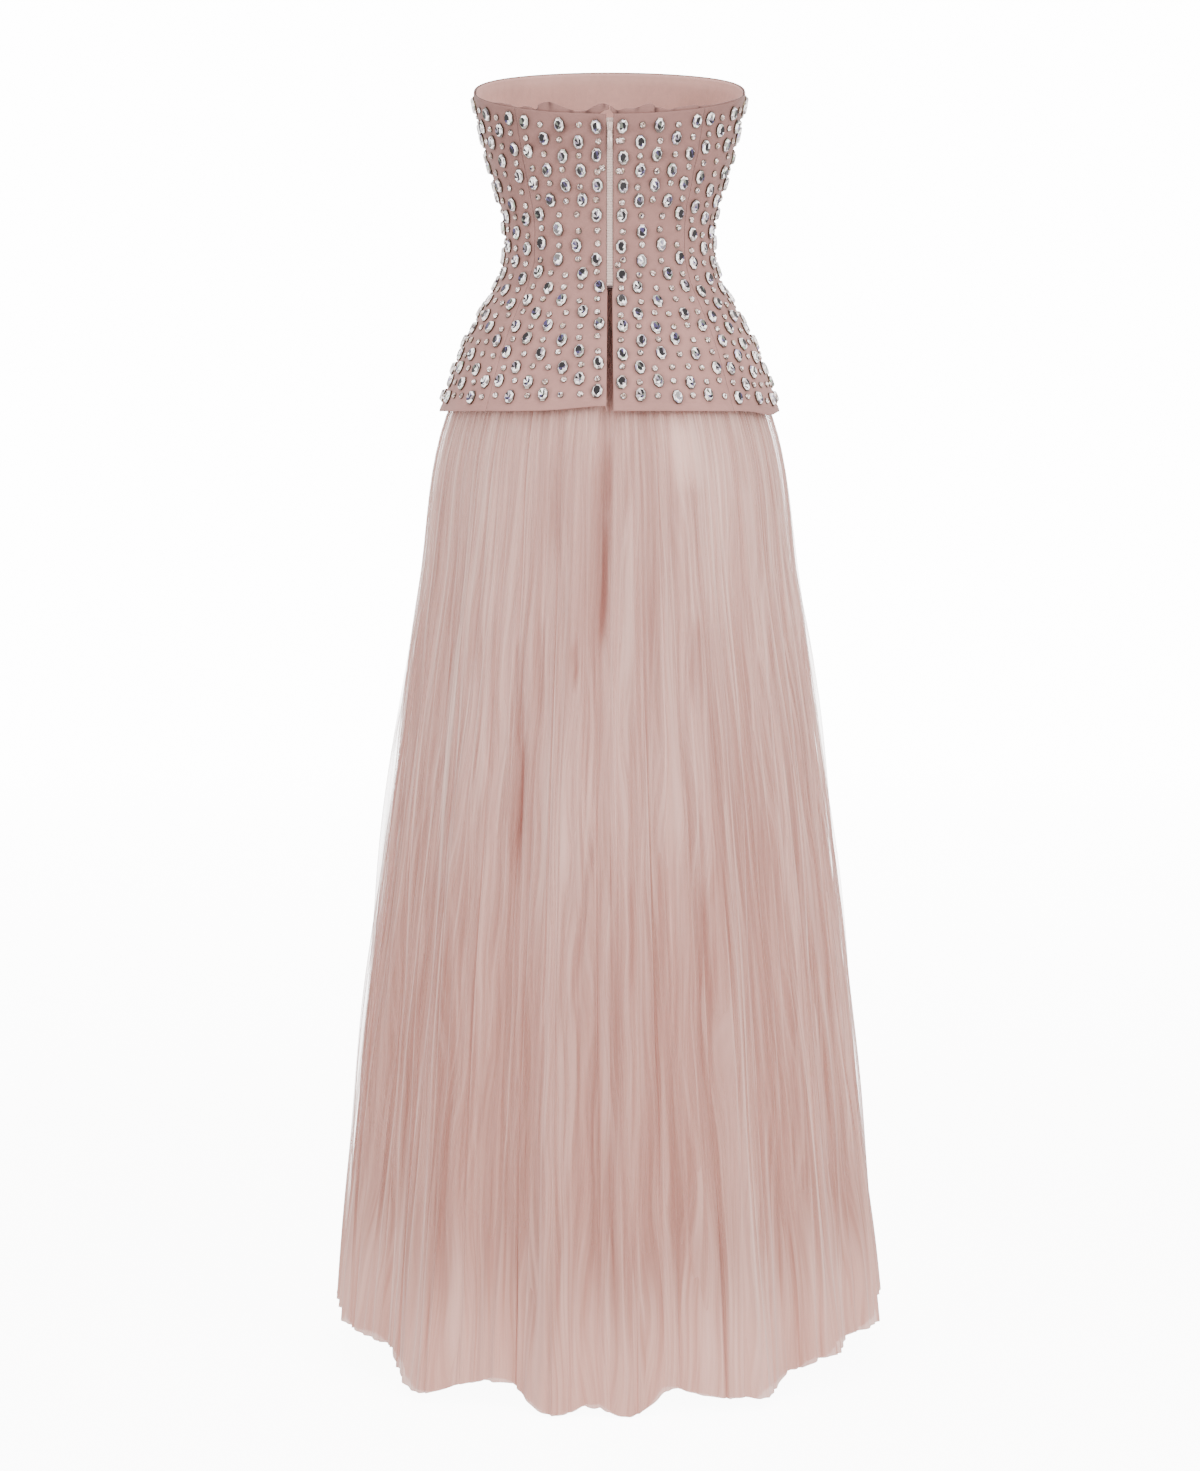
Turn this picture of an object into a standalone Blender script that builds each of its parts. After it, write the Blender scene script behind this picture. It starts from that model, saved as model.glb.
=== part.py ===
"""Strapless gown: a stone-set bodice with a peplum over a long pleated tulle skirt.

Metres, +Z up. The front of the gown faces -Y and its back faces +Y. The origin
is the centre of the waist, where the wearer holds the gown up. Angles run round
the gown from the centre back: 0 is the centre back, 90 degrees is the wearer's
right side (-X), 180 is the centre front and 270 is the wearer's left side (+X).
"""

import math

import bmesh
import bpy
import numpy as np
from mathutils import Vector
from mathutils.geometry import delaunay_2d_cdt

MM = 0.001
DEG = math.pi / 180.0

# ---------------------------------------------------------------- bodice form
# Outside of the bodice cloth, from above the neckline to the peplum's hem.
# height, half_width, back_depth, front_depth
BODY = (
    (0.200, 0.1450, 0.1130, 0.1160),
    (0.150, 0.1425, 0.1100, 0.1240),
    (0.116, 0.1350, 0.1050, 0.1270),
    (0.083, 0.1274, 0.1000, 0.1200),
    (0.050, 0.1180, 0.0940, 0.1060),
    (0.016, 0.1103, 0.0880, 0.0930),
    (-0.001, 0.1098, 0.0870, 0.0910),
    (-0.017, 0.1104, 0.0880, 0.0910),
    (-0.042, 0.1173, 0.0950, 0.0950),
    (-0.076, 0.1365, 0.1130, 0.1060),
    (-0.109, 0.1540, 0.1310, 0.1190),
    (-0.143, 0.1675, 0.1450, 0.1320),
    (-0.178, 0.1805, 0.1570, 0.1440),
    (-0.190, 0.1845, 0.1600, 0.1470),
)
CUP_ANGLE = 148 * DEG
CUP_SPREAD = 26 * DEG
CUP_HEIGHT = 0.108
CUP_RISE = 0.045
CUP_DEPTH = 8 * MM

NECK_BACK = 0.123
NECK_SIDE = 0.1535
NECK_FRONT = 0.188
NECK_BEND = 0.8
HEM_HEIGHT = -0.178
HEM_DIP_ANGLE = 67 * DEG
HEM_DIP_SPREAD = 9 * DEG
HEM_DIP = 4 * MM
HEM_LIFT_SPREAD = 14 * DEG
HEM_LIFT = 5 * MM

PANEL_WALL = 2.0 * MM
SEAM_GAP = 0.3 * MM
# name, start_angle, end_angle
PANELS = (
    ("back_right", 0, 45),
    ("side_back_right", 45, 90),
    ("side_front_right", 90, 135),
    ("front_panel", 135, 225),
    ("side_front_left", 225, 270),
    ("side_back_left", 270, 315),
    ("back_left", 315, 360),
)
EDGE_STEPS = 12
EDGE_STEP = 15 * MM
INNER_STEP_ROUND = 20 * MM
INNER_STEP_DOWN = 34 * MM
FLAT_RADIUS = 0.13

# ------------------------------------------------------------- centre back
ZIP_TOP = 0.119
ZIP_BOTTOM = -0.051
ZIP_HALF_GAP = 3.6 * MM
SLIT_TOP_HALF_GAP = 2.4 * MM
SLIT_HEM_HALF_GAP = 3.6 * MM
TAPE_WIDTH = 12 * MM
TAPE_WALL = 1.0 * MM
TAPE_DEPTH = 3.1 * MM

# ------------------------------------------------------------ large stones
STONE_WIDTH = 10.6 * MM
STONE_LENGTH = 14.6 * MM
STONE_HEIGHT = 4.4 * MM
STONE_TABLE = 0.56
COLUMN_PITCH = 18.4 * MM
ROW_PITCH = 15.0 * MM
SIDE_MARGIN = 9.2 * MM
NECK_MARGIN = 13.0 * MM
HEM_MARGIN = 16.0 * MM
PLACE_DRIFT = 1.1 * MM
APART_IN_ROW = 25.0 * MM
APART_ACROSS = 13.0 * MM
APART_DOWN = 18.0 * MM

# ------------------------------------------------------------------ lining
LINING_WALL = 1.0 * MM
LINING_TOP_DEPTH = 2.6 * MM
LINING_DEPTH = 4.2 * MM
LINING_FOOT = -0.018
LINING_START = 12.6 * MM
LIP_HEIGHT = 5 * MM
LIP_SPREAD = 55 * DEG
NECK_ROLL = 1.0 * MM
# name, start_angle, end_angle, columns
LININGS = (
    ("lining_back_right", 0, 90, 10),
    ("lining_front", 90, 270, 22),
    ("lining_back_left", 270, 360, 10),
)
LINING_ROWS = 5

# ------------------------------------------------------------------ skirts
# Mean outside of the tulle skirt, and how its pleats and large folds open out.
# height, half_width, back_depth, front_depth, pleat_half_depth, fold_share
SKIRT = (
    (-0.024, 0.1086, 0.0864, 0.0884, 0.0000, 0.00),
    (-0.080, 0.1235, 0.1000, 0.0940, 0.0010, 0.00),
    (-0.178, 0.1700, 0.1470, 0.1340, 0.0014, 0.10),
    (-0.360, 0.1990, 0.1800, 0.1690, 0.0019, 0.35),
    (-0.700, 0.2420, 0.2300, 0.2200, 0.0024, 0.75),
    (-1.140, 0.2880, 0.2740, 0.2680, 0.0029, 1.00),
)
# height, half_width, back_depth, front_depth, pleat_half_depth, fold_share
UNDERSKIRT = (
    (-0.026, 0.1068, 0.0846, 0.0866, 0.0000, 0.00),
    (-0.080, 0.1185, 0.0950, 0.0890, 0.0000, 0.00),
    (-0.178, 0.1615, 0.1385, 0.1255, 0.0000, 0.06),
    (-0.360, 0.1880, 0.1690, 0.1580, 0.0000, 0.21),
    (-0.700, 0.2300, 0.2180, 0.2080, 0.0000, 0.45),
    (-1.125, 0.2740, 0.2600, 0.2540, 0.0000, 0.60),
)
# Large folds at the hem of the skirt, round from the centre back.
# angle, half_spread, outward, drop
FOLDS = (
    (3, 8, 0.020, 0.020),
    (27, 13, 0.022, 0.014),
    (51, 10, 0.010, 0.004),
    (72, 12, 0.012, -0.003),
    (97, 11, 0.010, -0.012),
    (119, 12, 0.016, 0.004),
    (140, 10, 0.013, 0.007),
    (160, 11, 0.018, 0.004),
    (181, 11, 0.014, 0.008),
    (203, 12, 0.017, 0.003),
    (224, 10, 0.013, 0.007),
    (244, 11, 0.016, 0.004),
    (266, 11, 0.012, 0.002),
    (290, 12, 0.012, -0.004),
    (321, 13, 0.024, 0.014),
    (349, 9, 0.021, 0.020),
)
SKIRT_WALL = 1.2 * MM
# name, table, start_angle, end_angle, pleats
SKIRTS = (
    ("skirt_back_right", SKIRT, 0, 90, 36),
    ("skirt_front", SKIRT, 90, 270, 68),
    ("skirt_back_left", SKIRT, 270, 360, 36),
    ("underskirt_back_right", UNDERSKIRT, 0, 90, 8),
    ("underskirt_front", UNDERSKIRT, 90, 270, 15),
    ("underskirt_back_left", UNDERSKIRT, 270, 360, 8),
)
BACK_DROP = 20 * MM
BACK_DROP_SPREAD = 45 * DEG
PLEAT_DRIFT = 0.22
PLACKET_SPREAD = 22 * MM
PLACKET_DEPTH = 3.2 * MM

# ------------------------------------------------------------ zip hardware
SLIDER_HEIGHT = 0.1105
SLIDER_WIDTH = 6.4 * MM
SLIDER_LENGTH = 9.0 * MM
SLIDER_FRONT = 1.6 * MM
SLIDER_BACK = -2.7 * MM
BRIDGE_WIDTH = 1.8 * MM
BRIDGE_LENGTH = 6.4 * MM
BRIDGE_WINDOW = 4.8 * MM
BRIDGE_OPENING = 2.0 * MM
BRIDGE_BAR = 0.8 * MM
PULL_AXIS = 2.6 * MM
PULL_WIDTH = 5.0 * MM
PULL_WALL = 1.0 * MM
PULL_LENGTH = 25.0 * MM
EYE_WIDTH = 2.6 * MM
EYE_LENGTH = 3.5 * MM

# name: red, green, blue, roughness, metallic
FINISHES = {
    "bodice_cloth": (0.50, 0.35, 0.33, 0.60, 0.0),
    "lining_cloth": (0.53, 0.37, 0.34, 0.55, 0.0),
    "tulle": (0.60, 0.43, 0.39, 0.85, 0.0),
    "under_tulle": (0.57, 0.40, 0.36, 0.85, 0.0),
    "zip_tape": (0.78, 0.65, 0.60, 0.70, 0.0),
    "zip_metal": (0.80, 0.70, 0.66, 0.35, 0.6),
}


# ------------------------------------------------------------------- helpers
def clear_scene():
    """Remove what the scene holds."""
    for thing in list(bpy.data.objects):
        bpy.data.objects.remove(thing, do_unlink=True)


def new_collection(name):
    """A collection linked to the scene."""
    collection = bpy.data.collections.new(name)
    bpy.context.scene.collection.children.link(collection)
    return collection


def finish(name):
    """The Principled material of one finish, made once."""
    if name in bpy.data.materials:
        return bpy.data.materials[name]
    red, green, blue, roughness, metallic = FINISHES[name]
    material = bpy.data.materials.new(name)
    material.use_nodes = True
    shader = material.node_tree.nodes["Principled BSDF"]
    shader.inputs["Base Color"].default_value = (red, green, blue, 1.0)
    shader.inputs["Roughness"].default_value = roughness
    shader.inputs["Metallic"].default_value = metallic
    return material


def new_object(name, bm, collection, finish_name):
    """An object made from a bmesh, in a collection, with its own finish."""
    mesh = bpy.data.meshes.new(name)
    bm.to_mesh(mesh)
    bm.free()
    mesh.materials.append(finish(finish_name))
    thing = bpy.data.objects.new(name, mesh)
    collection.objects.link(thing)
    return thing


def smooth_step(share):
    """An even rise from 0 to 1."""
    held = min(max(share, 0.0), 1.0)
    return held * held * (3.0 - 2.0 * held)


def bell(distance, spread):
    """A soft bump that is 1 in the middle and fades over its spread."""
    return math.exp(-((distance / spread) ** 2))


def turn(angle):
    """The same angle between -180 and 180 degrees."""
    return (angle + math.pi) % (2.0 * math.pi) - math.pi


def read_row(rows, height):
    """All columns of a table at a height, on a smooth curve through its rows."""
    table = np.array(rows)[::-1]
    heights = table[:, 0]
    slopes = np.gradient(table, heights, axis=0)
    held = min(max(height, heights[0]), heights[-1])
    low = int(np.clip(np.searchsorted(heights, held) - 1, 0, len(heights) - 2))
    span = heights[low + 1] - heights[low]
    share = (held - heights[low]) / span
    start, end = table[low], table[low + 1]
    start_slope, end_slope = slopes[low] * span, slopes[low + 1] * span
    rise = end - start
    cubic = start_slope + end_slope - 2.0 * rise
    square = 3.0 * rise - 2.0 * start_slope - end_slope
    return start + share * (start_slope + share * (square + share * cubic))


# --------------------------------------------------------------- bodice form
def ring_depth(sizes, angle):
    """Depth of a section on the side that an angle faces."""
    return sizes[2] if math.cos(angle) > 0 else sizes[3]


def ring_point(sizes, angle, height, outward):
    """A point on a section, moved out along the section's own normal."""
    half_width, depth = sizes[1], ring_depth(sizes, angle)
    across = Vector((-depth * math.sin(angle), half_width * math.cos(angle), 0.0))
    across.normalize()
    point = Vector((-half_width * math.sin(angle), depth * math.cos(angle), height))
    return point + across * outward


def cup_lift(angle, height):
    """How far the front of the bodice stands out over its two cups."""
    sideways = bell(abs(turn(angle)) - CUP_ANGLE, CUP_SPREAD)
    return CUP_DEPTH * sideways * bell(height - CUP_HEIGHT, CUP_RISE)


def body_surface(angle, height):
    """A point on the outside of the bodice cloth."""
    return ring_point(read_row(BODY, height), angle, height, cup_lift(angle, height))


def body_normal(angle, height):
    """The outward direction of the bodice cloth."""
    step = 0.5 * MM
    turn_step = step / FLAT_RADIUS
    around = body_surface(angle + turn_step, height) - body_surface(angle - turn_step, height)
    up = body_surface(angle, height + step) - body_surface(angle, height - step)
    return around.cross(up).normalized()


def body_point(angle, height, offset):
    """A point moved out from the bodice cloth, or in where offset is negative."""
    return body_surface(angle, height) + body_normal(angle, height) * offset


def angle_along(height, start, distance):
    """The angle reached by going a distance round the bodice from a start angle."""
    sizes = read_row(BODY, height)
    way = math.copysign(1.0, distance)
    turns = start + way * np.linspace(0.0, 1.6, 81)
    depths = np.where(np.cos(turns) > 0, sizes[2], sizes[3])
    speeds = np.hypot(sizes[1] * np.cos(turns), depths * np.sin(turns))
    steps = 0.5 * (speeds[1:] + speeds[:-1]) * np.abs(np.diff(turns))
    lengths = np.concatenate(([0.0], np.cumsum(steps)))
    return float(np.interp(abs(distance), lengths, turns))


def neckline(angle):
    """Height of the bodice's top edge: low at the back, quickly higher at the front."""
    facing = -math.cos(angle)
    if facing > 0:
        return NECK_SIDE + (NECK_FRONT - NECK_SIDE) * facing ** NECK_BEND
    return NECK_SIDE + (NECK_SIDE - NECK_BACK) * facing


def peplum_hem(angle):
    """Height of the peplum's hem, with one dip and the lifted corner at the slit."""
    side = turn(angle)
    dip = HEM_DIP * bell(side - HEM_DIP_ANGLE, HEM_DIP_SPREAD)
    lift = HEM_LIFT * bell(side, HEM_LIFT_SPREAD) if side < 0 else 0.0
    return HEM_HEIGHT - dip + lift


def centre_back_gap(height):
    """Half the distance between the two back panels, along the zip and the slit."""
    if height > ZIP_BOTTOM:
        return ZIP_HALF_GAP
    share = (ZIP_BOTTOM - height) / (ZIP_BOTTOM - HEM_HEIGHT)
    return SLIT_TOP_HALF_GAP + share * (SLIT_HEM_HALF_GAP - SLIT_TOP_HALF_GAP)


def seam_angle(angle, side, height):
    """Where a panel ends beside a seam; side is +1 at its start and -1 at its end."""
    at_back = abs(turn(angle)) < 1e-6
    gap = centre_back_gap(height) if at_back else 0.5 * SEAM_GAP
    return angle_along(height, angle, side * gap)


# -------------------------------------------------------------------- panels
def panel_edge(start, end):
    """The panel's outline as angle and height, round from its hem."""
    width = FLAT_RADIUS * (end - start)
    rounds = int(math.ceil(width / EDGE_STEP))
    low_start = seam_angle(start, 1, peplum_hem(start + 0.01))
    low_end = seam_angle(end, -1, peplum_hem(end - 0.01))
    top_start = seam_angle(start, 1, neckline(start))
    top_end = seam_angle(end, -1, neckline(end))
    outline = []
    for step in range(rounds):
        angle = low_start + (low_end - low_start) * step / rounds
        outline.append((angle, peplum_hem(angle)))
    for step in range(EDGE_STEPS):
        low, top = peplum_hem(low_end), neckline(top_end)
        height = low + (top - low) * step / EDGE_STEPS
        outline.append((seam_angle(end, -1, height), height))
    for step in range(rounds):
        angle = top_end + (top_start - top_end) * step / rounds
        outline.append((angle, neckline(angle)))
    for step in range(EDGE_STEPS):
        low, top = peplum_hem(low_start), neckline(top_start)
        height = top + (low - top) * step / EDGE_STEPS
        outline.append((seam_angle(start, 1, height), height))
    return outline


def arc_length(height, start, end):
    """Distance round the bodice from one angle to another."""
    sizes = read_row(BODY, height)
    turns = np.linspace(start, end, 81)
    depths = np.where(np.cos(turns) > 0, sizes[2], sizes[3])
    speeds = np.hypot(sizes[1] * np.cos(turns), depths * np.sin(turns))
    return float(np.sum(0.5 * (speeds[1:] + speeds[:-1]) * np.diff(turns)))


def stone_rows(start, end):
    """Shares up a panel from hem to neckline at which its rows of stones lie."""
    middle = 0.5 * (start + end)
    top, low = neckline(middle), peplum_hem(middle)
    heights = np.linspace(top, low, 90)
    points = np.array([body_surface(middle, height) for height in heights])
    steps = np.linalg.norm(np.diff(points, axis=0), axis=1)
    lengths = np.concatenate(([0.0], np.cumsum(steps)))
    last = lengths[-1] - HEM_MARGIN
    count = int((last - NECK_MARGIN) / ROW_PITCH) + 1
    levels = np.interp(np.linspace(NECK_MARGIN, last, count), lengths, heights)
    return [float(level - low) / (top - low) for level in levels]


def sewing_places(start, end):
    """Places in staggered rows over a panel: row, angle and height."""
    middle = 0.5 * (start + end)
    places = []
    for row, share in enumerate(stone_rows(start, end)):
        level = peplum_hem(middle) + (neckline(middle) - peplum_hem(middle)) * share
        first, last = seam_angle(start, 1, level), seam_angle(end, -1, level)
        across = arc_length(level, first, last) - 2.0 * SIDE_MARGIN
        count = int(round(across / COLUMN_PITCH))
        for column in range(count + 1):
            aside = PLACE_DRIFT * math.sin(3.7 * row + 2.1 * column + 5.0 * start)
            along = SIDE_MARGIN + across * column / count + aside
            angle = angle_along(level, first, along)
            drift = PLACE_DRIFT * math.sin(2.3 * row + 1.7 * column + 4.0 * start)
            low, top = peplum_hem(angle), neckline(angle)
            places.append((row, angle, low + (top - low) * share + drift))
    return places


def large_places(start, end):
    """The sewing places that take a large stone: every other one, row by row."""
    chosen = []
    for row, angle, height in sewing_places(start, end):
        clear = True
        for other_row, other_angle, other_height in chosen:
            across = abs(arc_length(height, other_angle, angle))
            if other_row == row:
                clear = clear and across > APART_IN_ROW
            elif abs(height - other_height) < APART_DOWN:
                clear = clear and across > APART_ACROSS
        if clear:
            chosen.append((row, angle, height))
    return chosen


def stone_corners(angle, height, scale):
    """The four corners of a stone's outline, or of its smaller table."""
    ends = [body_surface(angle, height + side * 1 * MM) for side in (-1, 1)]
    lean = 2 * MM / (ends[1] - ends[0]).length
    half_width = 0.5 * STONE_WIDTH * scale
    half_length = 0.5 * STONE_LENGTH * scale * lean
    corners = []
    for across, up in ((-1, -1), (1, -1), (1, 1), (-1, 1)):
        place = height + up * half_length
        corners.append((angle_along(place, angle, across * half_width), place))
    return corners


def panel_stones(start, end):
    """Outline corners and raised table corners of every large stone on a panel."""
    stones = []
    for row, angle, height in large_places(start, end):
        base = stone_corners(angle, height, 1.0)
        table = stone_corners(angle, height, STONE_TABLE)
        outward = body_normal(angle, height)
        tops = [body_surface(a, h) + outward * STONE_HEIGHT for a, h in table]
        stones.append((base, tops))
    return stones


def inner_places(start, end):
    """Places inside a panel's outline that keep its plain inner face round."""
    places = []
    rows = int((NECK_BACK - HEM_HEIGHT) / INNER_STEP_DOWN)
    for row in range(1, rows + 2):
        height = HEM_HEIGHT + row * INNER_STEP_DOWN
        low, high = seam_angle(start, 1, height), seam_angle(end, -1, height)
        width = read_row(BODY, height)[1] * (high - low)
        count = max(int(round(width / INNER_STEP_ROUND)), 2)
        for column in range(1, count):
            angle = low + (high - low) * column / count
            if height < neckline(angle) - 0.4 * INNER_STEP_DOWN:
                places.append((angle, height))
    return places


def triangles_between(outline, places, loops):
    """Triangles over an outline and the places in it, keeping the loops' edges."""
    flat = [Vector((FLAT_RADIUS * angle, height)) for angle, height in outline + places]
    count = len(outline)
    edges = [(step, (step + 1) % count) for step in range(count)]
    for loop in loops:
        edges += [(loop[step], loop[(step + 1) % len(loop)]) for step in range(len(loop))]
    made = delaunay_2d_cdt(flat, edges, [list(range(count))], 1, 1e-7)
    triangles = []
    for face in made[2]:
        triangles.append([made[3][corner][0] for corner in face])
    return triangles


def build_panel(name, start, end, collection):
    """One bodice panel: stones raised in its outer face over a plain inner face."""
    outline = panel_edge(start, end)
    count = len(outline)
    stones = panel_stones(start, end)
    corners = [corner for base, tops in stones for corner in base]
    loops = [[count + 4 * stone + side for side in range(4)] for stone in range(len(stones))]
    owner = {corner: stone for stone, loop in enumerate(loops) for corner in loop}
    bm = bmesh.new()
    outer = [bm.verts.new(body_surface(a, h)) for a, h in outline + corners]
    for triangle in triangles_between(outline, corners, loops):
        owners = {owner.get(corner) for corner in triangle}
        if len(owners) > 1 or None in owners:
            bm.faces.new([outer[corner] for corner in triangle])
    for (base, tops), loop in zip(stones, loops):
        raised = [bm.verts.new(top) for top in tops]
        for side in range(4):
            after = (side + 1) % 4
            bm.faces.new((outer[loop[side]], outer[loop[after]], raised[after], raised[side]))
        bm.faces.new(raised)
    places = inner_places(start, end)
    inner = [bm.verts.new(body_point(a, h, -PANEL_WALL)) for a, h in outline + places]
    for triangle in triangles_between(outline, places, []):
        bm.faces.new([inner[corner] for corner in reversed(triangle)])
    for step in range(count):
        after = (step + 1) % count
        bm.faces.new((outer[after], outer[step], inner[step], inner[after]))
    bmesh.ops.triangulate(bm, faces=bm.faces[:])
    return new_object(name, bm, collection, "bodice_cloth")


# -------------------------------------------------------------- thin sheets
def build_sheet(name, columns, rows, shape, wall, collection, finish_name):
    """A grid shaped by a rule and thickened inwards; shape takes column and row."""
    bm = bmesh.new()
    bmesh.ops.create_grid(bm, x_segments=columns, y_segments=rows, size=1.0)
    for vert in bm.verts:
        column = round(0.5 * (vert.co.x + 1.0) * columns)
        row = round(0.5 * (vert.co.y + 1.0) * rows)
        vert.co = shape(column, row)
    sheet = new_object(name, bm, collection, finish_name)
    solid = sheet.modifiers.new("wall", "SOLIDIFY")
    solid.thickness = wall
    solid.offset = -1.0
    solid.use_even_offset = True
    return sheet


def lining_top(angle):
    """Top edge of the lining: just under the neckline, and a lip over it at the back."""
    lip = (LIP_HEIGHT + NECK_ROLL) * bell(turn(angle), LIP_SPREAD)
    return neckline(angle) - NECK_ROLL + lip


def build_lining(name, start, end, columns, collection):
    """One lining piece inside the bodice, from the waist to the neckline."""
    def shape(column, row):
        def edge(angle, side):
            at_back = abs(turn(angle)) < 1e-6
            gap = LINING_START if at_back else SEAM_GAP
            return angle_along(0.0, angle, side * gap)
        low, high = edge(start, 1), edge(end, -1)
        angle = low + (high - low) * column / columns
        foot, top = LINING_FOOT, lining_top(angle)
        height = foot + (top - foot) * row / LINING_ROWS
        depth = LINING_TOP_DEPTH if row == LINING_ROWS else LINING_DEPTH
        return body_point(angle, height, -depth)
    return build_sheet(name, columns, LINING_ROWS, shape, LINING_WALL, collection,
                       "lining_cloth")


def build_tape(name, side, collection):
    """One half of the zip's tape, behind the edge of its back panel."""
    rows = 8

    def shape(column, row):
        reach = (0.7 * SEAM_GAP, TAPE_WIDTH)
        across = reach[column] if side > 0 else -reach[1 - column]
        height = ZIP_BOTTOM + (ZIP_TOP - ZIP_BOTTOM) * row / rows
        angle = angle_along(height, 0.0, across)
        return body_point(angle, height, -TAPE_DEPTH)
    return build_sheet(name, 1, rows, shape, TAPE_WALL, collection, "zip_tape")


# ------------------------------------------------------------------- skirts
def fold_at(angle, column):
    """Sum of the large folds at an angle, for their outward or drop column."""
    total = 0.0
    for fold in FOLDS:
        away = abs(turn(angle - fold[0] * DEG)) / (fold[1] * DEG)
        if away < 1.0:
            total += fold[column] * 0.5 * (1.0 + math.cos(math.pi * away))
    return total


def hem_drop(angle):
    """How far the hem hangs below its level: at each fold, and all over the back."""
    return fold_at(angle, 3) + BACK_DROP * bell(turn(angle), BACK_DROP_SPREAD)


def build_skirt(name, table, start, end, pleats, collection):
    """One gore of a skirt: ridges and furrows column by column, folds at the hem."""
    columns = 2 * pleats
    rows = len(table) - 1
    is_outer = table is SKIRT
    turn_gap = SEAM_GAP / table[0][2]

    def shape(column, row):
        sizes = table[rows - row]
        share = column / columns
        drift = PLEAT_DRIFT * math.sin(1.9 * column + 0.7 * start)
        inside = 0 < column < columns
        share += drift / columns if inside else 0.0
        angle = start + turn_gap + (end - start - 2.0 * turn_gap) * share
        ridge = sizes[4] if column % 2 else -sizes[4]
        placket = PLACKET_DEPTH * bell(sizes[1] * turn(angle), PLACKET_SPREAD)
        hidden = smooth_step((sizes[0] - table[2][0]) / (table[0][0] - table[2][0]))
        outward = ridge + sizes[5] * fold_at(angle, 2) - placket * hidden
        drop = hem_drop(angle) if row == 0 else 0.0
        return ring_point(sizes, angle, sizes[0] - drop, outward)
    return build_sheet(name, columns, rows, shape, SKIRT_WALL, collection,
                       "tulle" if is_outer else "under_tulle")


# ------------------------------------------------------------- zip hardware
def build_block(name, size, place, bevel, collection, finish_name):
    """A block with rounded edges, shaped at the object's own origin."""
    bm = bmesh.new()
    bmesh.ops.create_cube(bm, size=1.0)
    for vert in bm.verts:
        vert.co = Vector((vert.co.x * size[0], vert.co.y * size[1], vert.co.z * size[2]))
        vert.co += Vector(place)
    block = new_object(name, bm, collection, finish_name)
    if bevel > 0:
        rounding = block.modifiers.new("rounding", "BEVEL")
        rounding.width = bevel
        rounding.segments = 1
    return block


def join(block, other, operation):
    """Join a block with another, or cut the other out of it."""
    boolean = block.modifiers.new(operation.lower(), "BOOLEAN")
    boolean.operation = operation
    boolean.object = other
    other.hide_render = True
    other.display_type = "WIRE"


def place_on_back(thing, axis, lean):
    """Stand a piece of the zip on the centre back at the pull's axis."""
    thing.location = axis
    thing.rotation_euler = (lean, 0.0, 0.0)


def build_zip_hardware(parts, cutters):
    """The slider with its bridge, and the pull tab that hangs from the bridge."""
    outward = body_normal(0.0, SLIDER_HEIGHT)
    lean = math.atan2(outward.z, outward.y)
    axis = body_surface(0.0, SLIDER_HEIGHT) + outward * PULL_AXIS
    thick = SLIDER_FRONT - SLIDER_BACK
    middle = 0.5 * (SLIDER_FRONT + SLIDER_BACK) - PULL_AXIS
    slider = build_block("zip_slider", (SLIDER_WIDTH, thick, SLIDER_LENGTH),
                         (0.0, middle, 0.0), 0.6 * MM, parts, "zip_metal")
    seat = SLIDER_FRONT - PULL_AXIS
    rise = BRIDGE_OPENING + BRIDGE_BAR
    sunk = 0.4 * MM
    bridge = build_block("bridge_block", (BRIDGE_WIDTH, rise + sunk, BRIDGE_LENGTH),
                         (0.0, seat + 0.5 * (rise - sunk), 0.0), 0.0, cutters, "zip_metal")
    bite = 0.1 * MM
    window = build_block("bridge_window", (SLIDER_WIDTH, BRIDGE_OPENING + bite, BRIDGE_WINDOW),
                         (0.0, seat + 0.5 * (BRIDGE_OPENING - bite), 0.0), 0.0, cutters,
                         "zip_metal")
    join(slider, bridge, "UNION")
    join(slider, window, "DIFFERENCE")
    for thing in (slider, bridge, window):
        place_on_back(thing, axis, lean)
    bar = 0.5 * PULL_WALL
    pull = build_block("zip_pull", (PULL_WIDTH, PULL_WALL, PULL_LENGTH),
                       (0.0, 0.0, bar - 0.5 * PULL_LENGTH), 0.3 * MM, parts, "zip_metal")
    eye = build_block("pull_eye", (EYE_WIDTH, 3.0 * PULL_WALL, EYE_LENGTH),
                      (0.0, 0.0, -bar - 0.5 * EYE_LENGTH), 0.0, cutters, "zip_metal")
    join(pull, eye, "DIFFERENCE")
    for thing in (pull, eye):
        place_on_back(thing, axis, 0.0)


# -------------------------------------------------------------------- build
def main():
    clear_scene()
    parts = new_collection("strapless_gown")
    cutters = new_collection("cutters")
    for name, start, end in PANELS:
        build_panel(name, start * DEG, end * DEG, parts)
    for name, start, end, columns in LININGS:
        build_lining(name, start * DEG, end * DEG, columns, parts)
    for name, table, start, end, pleats in SKIRTS:
        build_skirt(name, table, start * DEG, end * DEG, pleats, parts)
    build_tape("zip_tape_right", 1, parts)
    build_tape("zip_tape_left", -1, parts)
    build_zip_hardware(parts, cutters)


main()
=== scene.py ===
"""Looks of a strapless gown: stone-set bodice with a peplum over a pleated tulle skirt.

Metres, +Z up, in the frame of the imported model: the front of the gown faces -Y and its
back faces +Y. Angles run round the gown from the centre back: 90 degrees is the wearer's
right side (-X), 180 is the centre front and 270 is the wearer's left side (+X).
"""

import math

import bmesh
import bpy
import numpy as np
from mathutils import Matrix, Vector
from mathutils.kdtree import KDTree


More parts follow.
